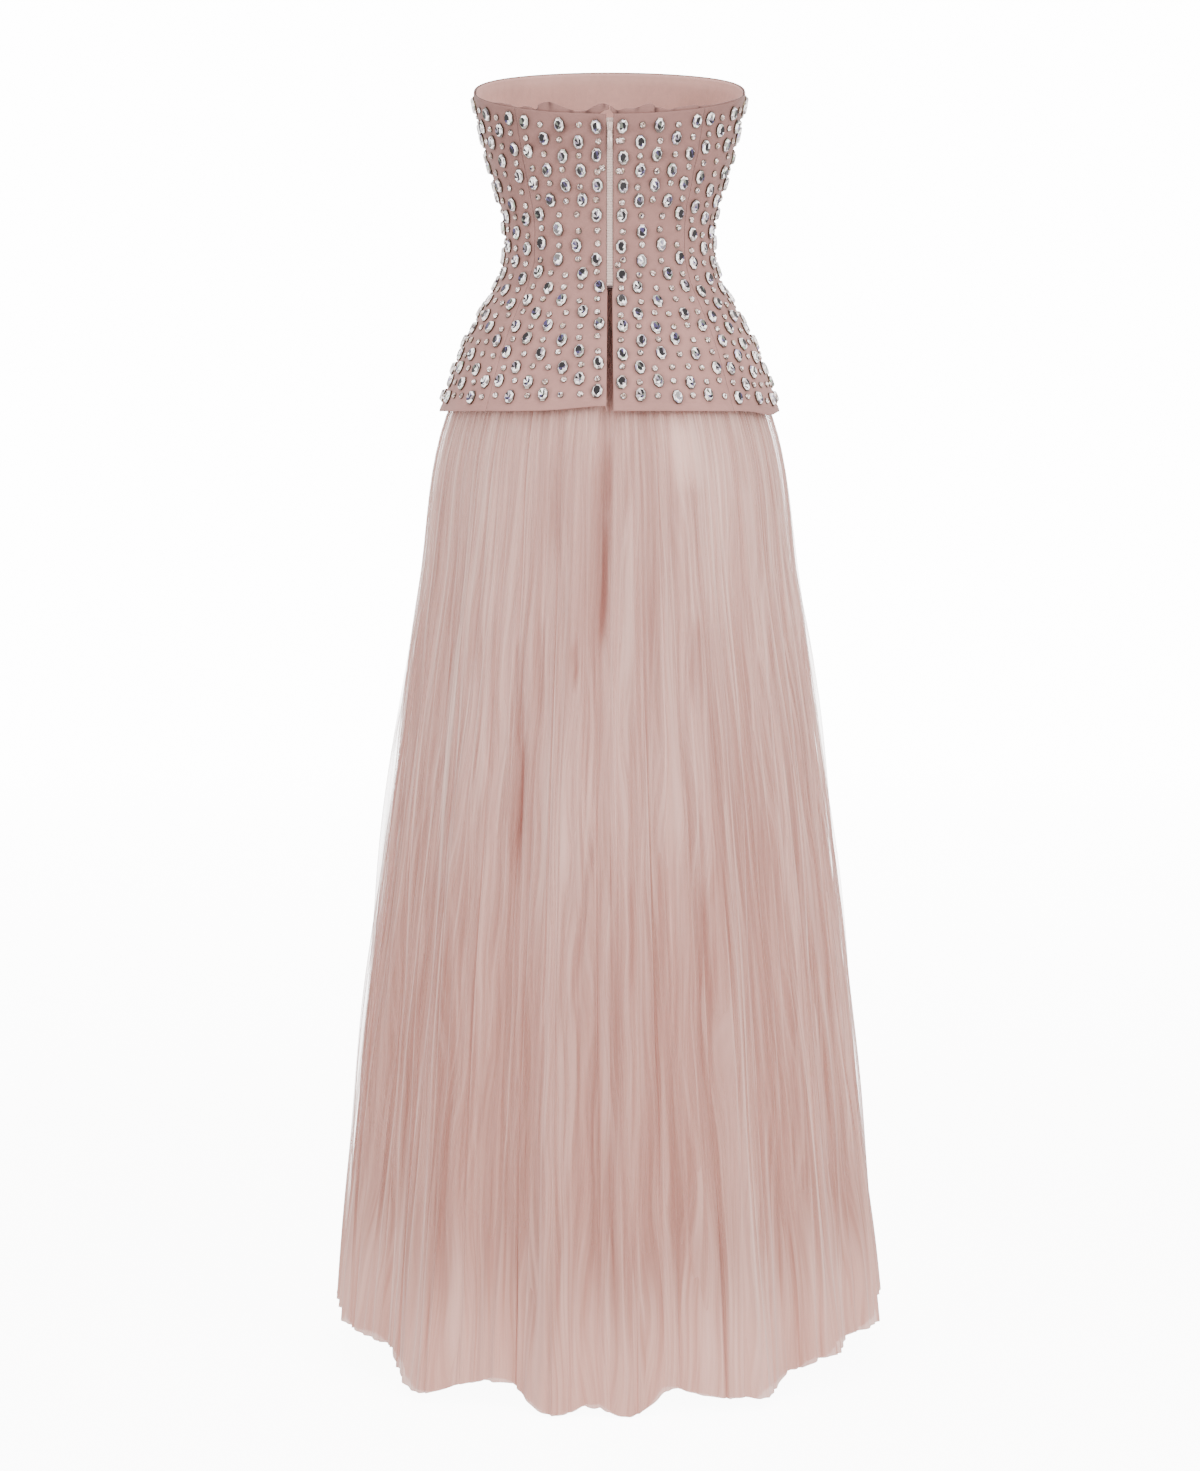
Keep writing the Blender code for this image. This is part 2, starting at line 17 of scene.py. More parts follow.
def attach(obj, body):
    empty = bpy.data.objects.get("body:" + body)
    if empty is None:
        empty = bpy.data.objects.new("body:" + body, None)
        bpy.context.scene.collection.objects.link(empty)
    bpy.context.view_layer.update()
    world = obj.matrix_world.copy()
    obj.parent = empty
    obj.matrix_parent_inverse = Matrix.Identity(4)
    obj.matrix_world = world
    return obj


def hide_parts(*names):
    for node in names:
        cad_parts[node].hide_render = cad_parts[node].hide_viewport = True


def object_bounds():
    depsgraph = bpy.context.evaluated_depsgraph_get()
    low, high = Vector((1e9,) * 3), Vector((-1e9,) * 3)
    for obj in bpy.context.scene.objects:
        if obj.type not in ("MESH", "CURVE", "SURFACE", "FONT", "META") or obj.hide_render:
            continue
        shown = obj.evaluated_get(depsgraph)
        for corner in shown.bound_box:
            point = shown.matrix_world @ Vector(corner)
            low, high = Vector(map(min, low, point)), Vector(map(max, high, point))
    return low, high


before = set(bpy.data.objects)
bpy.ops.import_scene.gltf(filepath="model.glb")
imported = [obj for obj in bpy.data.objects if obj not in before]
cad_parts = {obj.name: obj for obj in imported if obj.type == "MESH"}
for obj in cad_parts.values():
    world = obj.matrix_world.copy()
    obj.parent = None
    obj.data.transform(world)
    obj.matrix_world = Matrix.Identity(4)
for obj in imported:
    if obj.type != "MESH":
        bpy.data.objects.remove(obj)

bl_info = {
    "name": "Strapless gown",
    "version": (1, 0, 0),
    "blender": (4, 5, 0),
    "location": "3D View > Sidebar > Gown",
    "description": "Dresses the packed gown in cloth, stones and layered net",
    "category": "Object",
}

CAD_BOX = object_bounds()
MM = 0.001
DEG = math.pi / 180.0
FULL_TURN = 2.0 * math.pi
FLAT_RADIUS = 0.13
RING_REACH = 1.6

# ---------------------------------------------------------------- bodice form
# Outside of the bodice cloth, from above the neckline to the peplum's hem.
# height, half_width, back_depth, front_depth
BODY = (
    (0.200, 0.1450, 0.1130, 0.1160),
    (0.150, 0.1425, 0.1100, 0.1240),
    (0.116, 0.1350, 0.1050, 0.1270),
    (0.083, 0.1274, 0.1000, 0.1200),
    (0.050, 0.1180, 0.0940, 0.1060),
    (0.016, 0.1103, 0.0880, 0.0930),
    (-0.001, 0.1098, 0.0870, 0.0910),
    (-0.017, 0.1104, 0.0880, 0.0910),
    (-0.042, 0.1173, 0.0950, 0.0950),
    (-0.076, 0.1365, 0.1130, 0.1060),
    (-0.109, 0.1540, 0.1310, 0.1190),
    (-0.143, 0.1675, 0.1450, 0.1320),
    (-0.178, 0.1805, 0.1570, 0.1440),
    (-0.190, 0.1845, 0.1600, 0.1470),
)
CUP_ANGLE = 148 * DEG
CUP_SPREAD = 26 * DEG
CUP_HEIGHT = 0.108
CUP_RISE = 0.045
CUP_DEPTH = 8 * MM
HEM_DIP_ANGLE = 67 * DEG
HEM_DIP_SPREAD = 9 * DEG
HEM_DIP = 4 * MM
HEM_LIFT_SPREAD = 14 * DEG
HEM_LIFT = 5 * MM
SEAM_GAP = 0.3 * MM
# piece, node, start_angle, end_angle
PANELS = (
    ("back_panel_right", "back_right", 0, 45),
    ("side_back_panel_right", "side_back_right", 45, 90),
    ("side_front_panel_right", "side_front_right", 90, 135),
    ("centre_front_panel", "front_panel", 135, 225),
    ("side_front_panel_left", "side_front_left", 225, 270),
    ("side_back_panel_left", "side_back_left", 270, 315),
    ("back_panel_left", "back_left", 315, 360),
)
NECK_BEND = 0.8
PANEL_COLUMNS_PER_TURN = 340
PANEL_ROWS = 110
CLOTH_WALL = 1.4 * MM

# Tension creases of the bodice: side is the distance round from the centre back,
# positive to the wearer's right, and depth is below the cloth.
# side, height, end_side, end_height, half_width, depth
CREASES = (
    (0.020, 0.076, 0.088, 0.083, 0.0045, 0.0013),
    (0.014, 0.053, 0.080, 0.058, 0.0040, 0.0011),
    (0.034, 0.030, 0.102, 0.037, 0.0040, 0.0008),
    (0.008, 0.100, 0.052, 0.112, 0.0035, 0.0009),
    (0.012, 0.004, 0.070, -0.003, 0.0050, 0.0009),
    (0.070, 0.110, 0.098, 0.064, 0.0050, 0.0008),
    (-0.006, 0.112, -0.020, 0.070, 0.0040, 0.0013),
    (-0.012, 0.117, -0.062, 0.104, 0.0035, 0.0013),
    (-0.034, 0.112, -0.090, 0.090, 0.0040, 0.0010),
    (-0.026, 0.086, -0.096, 0.094, 0.0050, 0.0009),
    (-0.012, 0.044, -0.074, 0.052, 0.0050, 0.0008),
    (-0.016, -0.002, -0.078, 0.006, 0.0050, 0.0010),
    (-0.050, -0.030, -0.110, -0.020, 0.0060, 0.0008),
    (0.130, 0.020, 0.186, 0.028, 0.0050, 0.0010),
    (0.142, -0.006, 0.190, -0.002, 0.0045, 0.0008),
    (0.236, 0.040, 0.292, 0.030, 0.0055, 0.0011),
    (0.262, 0.006, 0.320, 0.012, 0.0050, 0.0010),
    (-0.128, 0.034, -0.182, 0.022, 0.0050, 0.0010),
    (-0.140, 0.002, -0.196, -0.006, 0.0045, 0.0009),
    (-0.232, 0.034, -0.300, 0.046, 0.0055, 0.0011),
    (-0.250, 0.004, -0.310, -0.004, 0.0050, 0.0009),
)
CREASE_SHARE = 1.7
CREASE_ENDS = 0.35
CREASE_RIDGE = 0.35
CREASE_RIDGE_AWAY = 2.2
CREASE_HEM_CLEAR = 4 * MM
CREASE_HEM_FADE = 20 * MM
CREASE_NECK_FADE = 16 * MM
CREASE_AT_NECK = 0.25
HEM_STITCH_RISE = 8 * MM
HEM_STITCH_WIDTH = 1.3 * MM
HEM_STITCH_DEPTH = 0.5 * MM
SEAM_ROLL = 0.5 * MM
SEAM_ROLL_WIDTH = 2.2 * MM

# ------------------------------------------------------------- centre back
ZIP_TOP = 0.119
ZIP_BOTTOM = -0.051
ZIP_HALF_GAP = 3.6 * MM
SLIT_TOP_HALF_GAP = 2.4 * MM
SLIT_HEM_HALF_GAP = 3.6 * MM
TAPE_START = 0.7 * SEAM_GAP
TAPE_WIDTH = 12 * MM
TAPE_COLUMNS = 6
TAPE_ROWS = 80
TAPE_DEPTH = 3.1 * MM
TAPE_WALL = 0.6 * MM
# The stop's dark colour partly stands for the shade at the top of the slit: painted shade.
STOP_COLOUR_AND_SHADE = (0.10, 0.07, 0.07)
STOP_SIZE = (4.4 * MM, 2.2 * MM, 3.2 * MM)
STOP_ROUNDING = 0.5 * MM
COIL_PITCH = 1.6 * MM
COIL_REACH = 3.1 * MM
COIL_DEPTH = 1.3 * MM
COIL_ROUNDING = 0.32 * MM
COIL_START = 2.4 * MM
COIL_RISE = 0.7 * MM
SLIDER_HEIGHT = 0.1105
SLIDER_HALF = 5 * MM
# The slider's front plate, back plate and neck, in millimetres from the pull's axis.
# width, depth, height, outward, up, rounding, taper
SLIDER_BLOCKS = (
    (6.2, 1.3, 8.8, -1.65, 0.0, 0.45, 0.78),
    (6.2, 1.1, 8.8, -4.70, 0.0, 0.40, 0.78),
    (1.6, 2.6, 2.4, -3.2, 2.6, 0.3, 1.0),
)
# width, reach, rise, thickness and foot of the slider's bridge, in millimetres
SLIDER_BRIDGE = (1.7, 2.8, 2.3, 0.8, -1.2)
PULL_AXIS = 2.6 * MM
PULL_LENGTH = 25.0 * MM
PULL_STEPS = 24
PULL_HALF_THICK = 0.45 * MM
PULL_EYE = 0.95 * MM
PULL_EYE_LENGTH = 1.35 * MM
PULL_EYE_PLACE = -1.7 * MM
ARCH_STEPS = 12
ARCH_SIDES = 8

# -------------------------------------------------------------- stones
SIDE_MARGIN = 9.2 * MM
NECK_MARGIN = 13.0 * MM
HEM_MARGIN = 16.0 * MM
PLACE_DRIFT = 1.1 * MM
APART_IN_ROW = 25.0 * MM
APART_ACROSS = 13.0 * MM
APART_DOWN = 18.0 * MM
# Reach of the painted shadow on the cloth round each stone.
STONE_SHADOW_REACH = 11 * MM
SMALL_CLEAR_ACROSS = 8.8 * MM
SMALL_CLEAR_DOWN = 10.8 * MM

# -------------------------------------------------------------- lining
LINING_TOP_DEPTH = 2.6 * MM
LINING_DEPTH = 4.2 * MM
LINING_FOOT = -0.018
LINING_LAP = 0.05 * MM
LINING_START = 12.6 * MM
LIP_HEIGHT = 5 * MM
LIP_SPREAD = 55 * DEG
NECK_ROLL = 1.0 * MM
LINING_WALL = 0.8 * MM
LINING_ROWS = 34
# node, start_angle, end_angle, columns
LININGS = (
    ("lining_back_right", 0, 90, 90),
    ("lining_front", 90, 270, 160),
    ("lining_back_left", 270, 360, 90),
)
# Puckers of the lining along its lip at the back.
# angle, half_spread, outward, rise
PUCKERS = (
    (357, 7, 0.0016, 0.0050),
    (3.5, 3, -0.0026, -0.0022),
    (17, 7, 0.0018, 0.0045),
    (20.5, 1.8, -0.0034, -0.0020),
    (27, 5, -0.0018, -0.0022),
    (38, 7, 0.0012, 0.0012),
    (43, 2.2, -0.0028, -0.0012),
    (52, 8, -0.0010, -0.0008),
    (66, 8, 0.0010, 0.0010),
    (346, 7, -0.0022, -0.0030),
    (350, 2.0, -0.0030, -0.0010),
    (333, 9, 0.0020, 0.0058),
    (325.5, 2.4, -0.0036, -0.0036),
    (316, 5, -0.0014, -0.0022),
    (307, 7, 0.0012, 0.0008),
    (296, 7, -0.0010, -0.0008),
)
# Painted shade in the creases drawn up to the lip between its puckers.
# angle, half_spread, depth_down, shade
LIP_CREASE_SHADOWS = (
    (3.5, 0.8, 0.007, 1.0),
    (-2.5, 0.7, 0.006, 0.8),
    (12.0, 1.0, 0.004, 0.7),
    (20.5, 0.7, 0.010, 1.2),
    (29.0, 1.2, 0.004, 0.6),
    (43.0, 0.9, 0.006, 0.9),
    (55.0, 1.2, 0.004, 0.6),
    (-10.0, 1.0, 0.005, 0.8),
    (-17.0, 1.2, 0.006, 0.7),
    (-26.0, 0.9, 0.008, 1.0),
    (-34.5, 0.8, 0.010, 1.1),
    (-44.0, 1.2, 0.005, 0.7),
    (-58.0, 1.2, 0.004, 0.6),
)
LIP_GAP = 0.7 * MM
LIP_CLOSE = 4 * MM
LIP_REACH = 12 * MM
LINING_EASE = 0.5 * MM

# ------------------------------------------------------------------ skirts
# Mean outside of the skirt, and how its pleats and large folds open out.
# height, half_width, back_depth, front_depth, pleat_half_depth, fold_share
SKIRT = (
    (-0.024, 0.1086, 0.0864, 0.0884, 0.0000, 0.00),
    (-0.080, 0.1235, 0.1000, 0.0940, 0.0010, 0.00),
    (-0.178, 0.1700, 0.1470, 0.1340, 0.0014, 0.10),
    (-0.360, 0.1990, 0.1800, 0.1690, 0.0019, 0.35),
    (-0.700, 0.2420, 0.2300, 0.2200, 0.0024, 0.75),
    (-1.140, 0.2880, 0.2740, 0.2680, 0.0021, 1.00),
)
# height, half_width, back_depth, front_depth, pleat_half_depth, fold_share
UNDERSKIRT = (
    (-0.026, 0.1068, 0.0846, 0.0866, 0.0000, 0.00),
    (-0.080, 0.1185, 0.0950, 0.0890, 0.0008, 0.00),
    (-0.178, 0.1615, 0.1385, 0.1255, 0.0012, 0.06),
    (-0.360, 0.1880, 0.1690, 0.1580, 0.0015, 0.21),
    (-0.700, 0.2300, 0.2180, 0.2080, 0.0018, 0.45),
    (-1.125, 0.2740, 0.2600, 0.2540, 0.0020, 0.60),
)
# Large folds at the hem of the skirt, round from the centre back. A row that goes nowhere
# outward only lengthens the hem.
# angle, half_spread, outward, drop
FOLDS = (
    (3, 8, 0.020, 0.020),
    (27, 13, 0.022, 0.014),
    (51, 10, 0.010, 0.004),
    (72, 12, 0.012, -0.003),
    (97, 11, 0.010, -0.012),
    (119, 12, 0.016, 0.004),
    (140, 10, 0.013, 0.007),
    (160, 11, 0.018, 0.004),
    (181, 11, 0.014, 0.008),
    (203, 12, 0.017, 0.003),
    (224, 10, 0.013, 0.007),
    (244, 11, 0.016, 0.004),
    (266, 11, 0.012, 0.002),
    (290, 12, 0.012, -0.004),
    (37, 10, 0.000, 0.010),
    (318, 10, 0.000, 0.010),
    (321, 13, 0.024, 0.014),
    (349, 9, 0.021, 0.020),
)
LOBE_ROUNDING = 0.8
BACK_DROP = 20 * MM
BACK_DROP_SPREAD = 45 * DEG
PLEAT_DRIFT = 0.22
PLEAT_WANDER = 0.45
EVEN_PLEATS = 0.62
UNEVEN_PLEATS = 0.38
KNEE = -0.700
GORE_LAP = 0.25 * MM
INNER_LENGTHENING = 16 * MM
PLACKET_SPREAD = 22 * MM
PLACKET_DEPTH = 3.2 * MM
# Net layers, each in three gores. The second net has no solid of its own.
# layer, solid, slot, table, back_pleats, front_pleats, columns_per_pleat, outward, phase,
# pleat_share
NET_GORES = (
    ("outer_net", "skirt", "tulle", SKIRT, 36, 68, 8, -0.0004, 0.0, 1.0),
    ("second_net", None, "tulle", SKIRT, 30, 58, 6, -0.0065, 2.0, 0.5),
    ("inner_net", "underskirt", "under_tulle", UNDERSKIRT, 44, 84, 6, -0.0010, 1.3, 1.0),
)
# side, start_angle, end_angle
GORE_SIDES = (("back_right", 0, 90), ("front", 90, 270), ("back_left", 270, 360))
PLEATS_PER_TURN = 140
SKIRT_ROWS = 56

# ------------------------------------------------------------------- stage
FLOOR_DROP = 2 * MM
FLOOR_CLOUD = 0.985
# Distances from the gown between which the floor's glow rises, and the glow at each.
FLOOR_GLOW_SPAN = (1.4, 6.0)
FLOOR_GLOW = (10.0, 14.0)
SEEN_STRENGTH = 15.0
LIT_STRENGTH = 1.0
LIGHT_AIM = (0.0, 0.0, -0.45)
# name, place, size, energy, colour
LIGHTS = (
    ("key_softbox", (-2.6, 3.2, 1.6), (1.8, 2.4), 136.0, (1.0, 0.96, 0.93)),
    ("fill_softbox", (2.8, 3.0, 0.8), (1.8, 2.4), 64.0, (1.0, 0.96, 0.94)),
    ("top_softbox", (0.0, 0.6, 3.0), (2.0, 2.0), 45.0, (1.0, 0.98, 0.96)),
    ("back_softbox", (0.0, -3.2, 1.2), (2.4, 2.4), 60.0, (1.0, 0.96, 0.94)),
)
IMAGE_HEIGHT = 1471.0
CAMERA_FOCAL = 3192.0
CAMERA_PLACE = (0.010, 3.400, -0.184)
CAMERA_PITCH = 5.7 * DEG


def length_setting(title, description, default):
    """A length that a user would change."""
    return bpy.props.FloatProperty(name=title, description=description, default=default,
                                   unit="LENGTH")


def colour_setting(title, description, default):
    """A colour that a user would change."""
    return bpy.props.FloatVectorProperty(name=title, description=description,
                                         default=default, subtype="COLOR")


class GownSizes(bpy.types.PropertyGroup):
    """Sizes of the gown that a user would change."""
    neck_back: length_setting("Back neckline", "Height of the top edge at the centre back", 0.123)
    neck_side: length_setting("Side neckline", "Height of the top edge under the arms", 0.1535)
    neck_front: length_setting("Front neckline", "Height of the top edge at the centre front", 0.188)
    peplum_hem: length_setting("Peplum hem", "Height of the peplum's hem", -0.178)
    stone_width: length_setting("Stone width", "Width of a large stone", 10.6 * MM)
    stone_length: length_setting("Stone length", "Length of a large stone", 14.6 * MM)
    small_width: length_setting("Small stone", "Width of a small round stone", 6.4 * MM)
    column_pitch: length_setting("Column pitch", "Distance between two columns of stones", 18.4 * MM)
    row_pitch: length_setting("Row pitch", "Distance between two rows of stones", 15.0 * MM)


class GownColours(bpy.types.PropertyGroup):
    """Colours of the gown that a user would change."""
    cloth: colour_setting("Bodice cloth", "Dusty pink of the bodice", (0.470, 0.250, 0.222))
    lining: colour_setting("Lining", "Plain satin inside the bodice", (0.660, 0.390, 0.340))
    # Light and dark net are mixed along streaks: partly denser and thinner net, partly painted light
    # on the pleats' ridges and painted shade in their furrows.
    net_light: colour_setting("Light net", "Ridges of the pleated net", (1.000, 0.665, 0.585))
    net_high: colour_setting("Upper net", "Paler net towards the waist", (1.000, 0.750, 0.680))
    net_low: colour_setting("Lower net", "Deeper net towards the hem", (0.720, 0.385, 0.310))
    net_dark: colour_setting("Dark net", "Furrows of the pleated net", (0.570, 0.276, 0.230))
    zip_colour: colour_setting("Zip", "Pale zip and its lacquered slider", (0.800, 0.640, 0.590))
    floor: colour_setting("Floor", "Pale studio floor", (0.900, 0.895, 0.890))


def sizes():
    """The gown's sizes, as set in the scene."""
    return bpy.context.scene.gown_sizes


def colours():
    """The gown's colours, as set in the scene."""
    return bpy.context.scene.gown_colours


# ------------------------------------------------------------------ helpers
def bell(distance, spread):
    """A soft bump that is 1 in the middle and fades over its spread."""
    return math.exp(-((distance / spread) ** 2))


def smooth_step(share):
    """An even rise from 0 to 1."""
    held = min(max(share, 0.0), 1.0)
    return held * held * (3.0 - 2.0 * held)


def turn(angle):
    """The same angle between -180 and 180 degrees."""
    return (angle + math.pi) % FULL_TURN - math.pi


def nearness(angle, place, half_spread):
    """How far an angle lies from a place in degrees, as a share of its half spread."""
    return abs(turn(angle - place * DEG)) / (half_spread * DEG)


def hump(away):
    """A round hump that is 1 in the middle and ends at 1 away."""
    return 0.5 * (1.0 + math.cos(math.pi * away)) if away < 1.0 else 0.0


def chance(number, index):
    """A fixed, uneven value from 0 to 1 for one thing of many."""
    return math.sin(12.9898 * number + 78.233 * index + 4.1) * 43758.5453 % 1.0


def uneven(number, index, least, more):
    """A fixed value for one thing of many, from a least one up by an uneven share of more."""
    return least + more * chance(number, index)


def closer_at_ends(share, pull=0.72):
    """Spaces steps from 0 to 1 more closely towards both ends."""
    return share - pull * math.sin(FULL_TURN * share) / FULL_TURN


def smooth_curve(rows):
    """A function that reads all columns of a table on a smooth curve through its rows."""
    table = np.array(rows)[::-1]
    heights = table[:, 0]
    slopes = np.gradient(table, heights, axis=0)

    def read(height):
        held = min(max(height, heights[0]), heights[-1])
        low = int(np.clip(np.searchsorted(heights, held) - 1, 0, len(heights) - 2))
        span = heights[low + 1] - heights[low]
        share = (held - heights[low]) / span
        start, end = table[low], table[low + 1]
        start_slope, end_slope = slopes[low] * span, slopes[low + 1] * span
        rise = end - start
        cubic = start_slope + end_slope - 2.0 * rise
        square = 3.0 * rise - 2.0 * start_slope - end_slope
        return start + share * (start_slope + share * (square + share * cubic))
    return read


body_row = smooth_curve(BODY)


# --------------------------------------------------------------- bodice form
def ring_point(row, angle, height, outward):
    """A point on a section, moved out along the section's own normal."""
    half_width = float(row[1])
    depth = float(row[2] if math.cos(angle) > 0 else row[3])
    sine, cosine = math.sin(angle), math.cos(angle)
    across_x, across_y = -depth * sine, half_width * cosine
    length = math.hypot(across_x, across_y)
    return Vector((-half_width * sine + outward * across_x / length,
                   depth * cosine + outward * across_y / length, height))


def cup_lift(angle, height):
    """How far the front of the bodice stands out over its two cups."""
    sideways = bell(abs(turn(angle)) - CUP_ANGLE, CUP_SPREAD)
    return CUP_DEPTH * sideways * bell(height - CUP_HEIGHT, CUP_RISE)


def body_surface(angle, height):
    """A point on the outside of the bodice cloth."""
    return ring_point(body_row(height), angle, height, cup_lift(angle, height))


def body_normal(angle, height):
    """The outward direction of the bodice cloth."""
    step = 0.5 * MM
    turn_step = step / FLAT_RADIUS
    around = body_surface(angle + turn_step, height) - body_surface(angle - turn_step, height)
    up = body_surface(angle, height + step) - body_surface(angle, height - step)
    return around.cross(up).normalized()


def body_point(angle, height, offset):
    """A point moved out from the bodice cloth, or in where offset is negative."""
    return body_surface(angle, height) + body_normal(angle, height) * offset


def ring_lengths(height, turns):
    """Distances round the bodice from the first of some angles to each of them."""
    row = body_row(height)
    depths = np.where(np.cos(turns) > 0, row[2], row[3])
    speeds = np.hypot(row[1] * np.cos(turns), depths * np.sin(turns))
    steps = 0.5 * (speeds[1:] + speeds[:-1]) * np.diff(turns)
    return np.concatenate(([0.0], np.cumsum(steps)))


def angle_along(height, start, distance):
    """The angle reached by going a distance round the bodice from a start angle."""
    turns = start + math.copysign(1.0, distance) * np.linspace(0.0, RING_REACH, 81)
    return float(np.interp(abs(distance), np.abs(ring_lengths(height, turns)), turns))


def arc_length(height, start, end):
    """Distance round the bodice from one angle to another."""
    return float(ring_lengths(height, np.linspace(start, end, 81))[-1])


def side_distance(angle, height):
    """Distance round the bodice from the centre back, positive to the wearer's right."""
    turns = np.linspace(0.0, abs(turn(angle)), 25)
    return math.copysign(float(ring_lengths(height, turns)[-1]), turn(angle))


def neckline(angle):
    """Height of the bodice's top edge: low at the back, quickly higher at the front."""
    side = sizes().neck_side
    facing = -math.cos(angle)
    if facing > 0:
        return side + (sizes().neck_front - side) * facing ** NECK_BEND
    return side + (side - sizes().neck_back) * facing


def peplum_hem(angle):
    """Height of the peplum's hem, with one dip and the lifted corner at the slit."""
    side = turn(angle)
    dip = HEM_DIP * bell(side - HEM_DIP_ANGLE, HEM_DIP_SPREAD)
    lift = HEM_LIFT * bell(side, HEM_LIFT_SPREAD) if side < 0 else 0.0
    return sizes().peplum_hem - dip + lift


def centre_back_gap(height):
    """Half the distance between the two back panels, along the zip and the slit."""
    if height > ZIP_BOTTOM:
        return ZIP_HALF_GAP
    share = (ZIP_BOTTOM - height) / (ZIP_BOTTOM - sizes().peplum_hem)
    return SLIT_TOP_HALF_GAP + share * (SLIT_HEM_HALF_GAP - SLIT_TOP_HALF_GAP)


def seam_angle(angle, side, height):
    """Where a panel ends beside a seam; side is +1 at its start and -1 at its end."""
    at_back = abs(turn(angle)) < 1e-6
    gap = centre_back_gap(height) if at_back else 0.5 * SEAM_GAP
    return angle_along(height, angle, side * gap)


def cloth_crease(angle, height):
    """How far the creases draw the cloth in, fading out at the hem and the top edge."""
    foot = smooth_step((height - peplum_hem(angle) - CREASE_HEM_CLEAR) / CREASE_HEM_FADE)
    top = smooth_step((neckline(angle) - height) / CREASE_NECK_FADE)
    fade = foot * (CREASE_AT_NECK + (1.0 - CREASE_AT_NECK) * top)
    return CREASE_SHARE * crease_depth(side_distance(angle, height), height) * fade


def crease_depth(side, height):
    """The depth of the tabled creases at a distance from the centre back and a height."""
    depth = 0.0
    for start, low, end, high, width, deep in CREASES:
        run, rise = end - start, high - low
        share = ((side - start) * run + (height - low) * rise) / (run * run + rise * rise)
        if not -0.3 < share < 1.3:
            continue
        held = min(max(share, 0.0), 1.0)
        away = math.hypot(side - start - held * run, height - low - held * rise)
        fade = CREASE_ENDS + (1.0 - CREASE_ENDS) * math.sin(math.pi * held)
        ridge = CREASE_RIDGE * bell(away - CREASE_RIDGE_AWAY * width, width)
        depth += deep * fade * (bell(away, width) - ridge)
    return depth


# -------------------------------------------------------------------- meshes
def mesh_of(name, bm):
    """A mesh made of a bmesh, which is freed."""
    mesh = bpy.data.meshes.new(name)
    bm.to_mesh(mesh)
    bm.free()
    return mesh


def add_piece(name, mesh, material, node=None, slot=None, body="gown"):
    """Make a piece of a mesh, dress it, and let it ride on its body."""
    mesh.materials.append(material)
    piece = bpy.data.objects.new(name, mesh)
    bpy.context.scene.collection.objects.link(piece)
    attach(piece, body)
    if node:
        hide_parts(node)
    return piece


def finish_piece(name, bm, material, node=None, slot=None, body="gown"):
    """Make a smooth piece of a bmesh."""
    mesh = mesh_of(name, bm)
    mesh.shade_smooth()
    return add_piece(name, mesh, material, node, slot, body)


def shaped_grid(columns, rows, points, pattern, shade):
    """A bmesh grid laid on its points, with a UV map of its pattern and an optional shade."""
    bm = bmesh.new()
    bmesh.ops.create_grid(bm, x_segments=columns, y_segments=rows, size=1.0)
    uv_layer = bm.loops.layers.uv.new("pattern")
    shades = bm.verts.layers.float.new("shade") if shade else None
    places = {vert: (round(0.5 * (vert.co.x + 1.0) * columns),
                     round(0.5 * (vert.co.y + 1.0) * rows)) for vert in bm.verts}
    for face in bm.faces:
        for loop in face.loops:
            loop[uv_layer].uv = pattern(*places[loop.vert])
    for vert, place in places.items():
        vert.co = points[place]
        if shade:
            vert[shades] = shade(*place)
    return bm


def give_wall(piece, wall, lined=False):
    """Thicken a shell inwards; a lined shell shows its second material inside."""
    solid = piece.modifiers.new("wall", "SOLIDIFY")
    solid.thickness = wall
    solid.offset = -1.0
    solid.material_offset = 1 if lined else 0


def tile_shapes(name, shape_mesh, matrices, shades, material, slot):
    """Join many copies of one small mesh, each at its own place and with its own shades."""
    count = len(shape_mesh.vertices)
    corners = np.array([vert.co[:] for vert in shape_mesh.vertices])
    faces = [tuple(face.vertices) for face in shape_mesh.polygons]
    verts, polygons, values = [], [], []
    for number, matrix in enumerate(matrices):
        verts.append(corners @ np.array(matrix.to_3x3()).T + np.array(matrix.translation))
        for index, face in enumerate(faces):
            polygons.append(tuple(corner + number * count for corner in face))
            if shades:
                values += list(shades(number, index)) * len(face)
    mesh = bpy.data.meshes.new(name)
    mesh.from_pydata(np.concatenate(verts).tolist(), [], polygons)
    if shades:
        layer = mesh.color_attributes.new("facet", "FLOAT_COLOR", "CORNER")
        layer.data.foreach_set("color", values)
    return add_piece(name, mesh, material, slot=slot)


def measured_cut(points):
    """Width, length and area of a sheet from its grid of points."""
    across = np.linalg.norm(np.diff(points, axis=0), axis=2)
    along = np.linalg.norm(np.diff(points, axis=1), axis=2)
    side, other = points[1:, 1:] - points[:-1, :-1], points[1:, :-1] - points[:-1, 1:]
    area = 0.5 * np.linalg.norm(np.cross(side, other), axis=2).sum()
    return float(across.sum(axis=0).max()), float(along.sum(axis=1).max()), float(area)


def build_sheet(name, columns, rows, shape, material, slot, node=None, shade=None,
                first=0.0, step=None):
    """A cloth piece shaped by a rule, with its flat cut measured."""
    points = np.array([[shape(column, row) for row in range(rows + 1)]
                       for column in range(columns + 1)])
    step = step or 1.0 / columns
    bm = shaped_grid(columns, rows, points,
                     lambda column, row: (first + step * column, row / rows), shade)
    return finish_piece(name, bm, material, node, slot), measured_cut(points)


def declare(piece, cut):
    """Work out the smaller of a cloth piece's area and its width times its length; nothing keeps the
    result.
    """
    width, length, area = cut
    min(area, width * length)


# ----------------------------------------------------------- shader helpers
def add_node(tree, kind, **settings):
    """A shader node with its settings."""
    node = tree.nodes.new("ShaderNode" + kind)
    for name, value in settings.items():
        setattr(node, name, value)
    return node


def fill(socket, value):
    """Link an output to a socket, or set the socket to a number or a colour."""
    if isinstance(value, bpy.types.NodeSocket):
        socket.id_data.links.new(value, socket)
    elif isinstance(value, (int, float)):
        socket.default_value = value
    else:
        socket.default_value = tuple(value)[:3] + (1.0,)


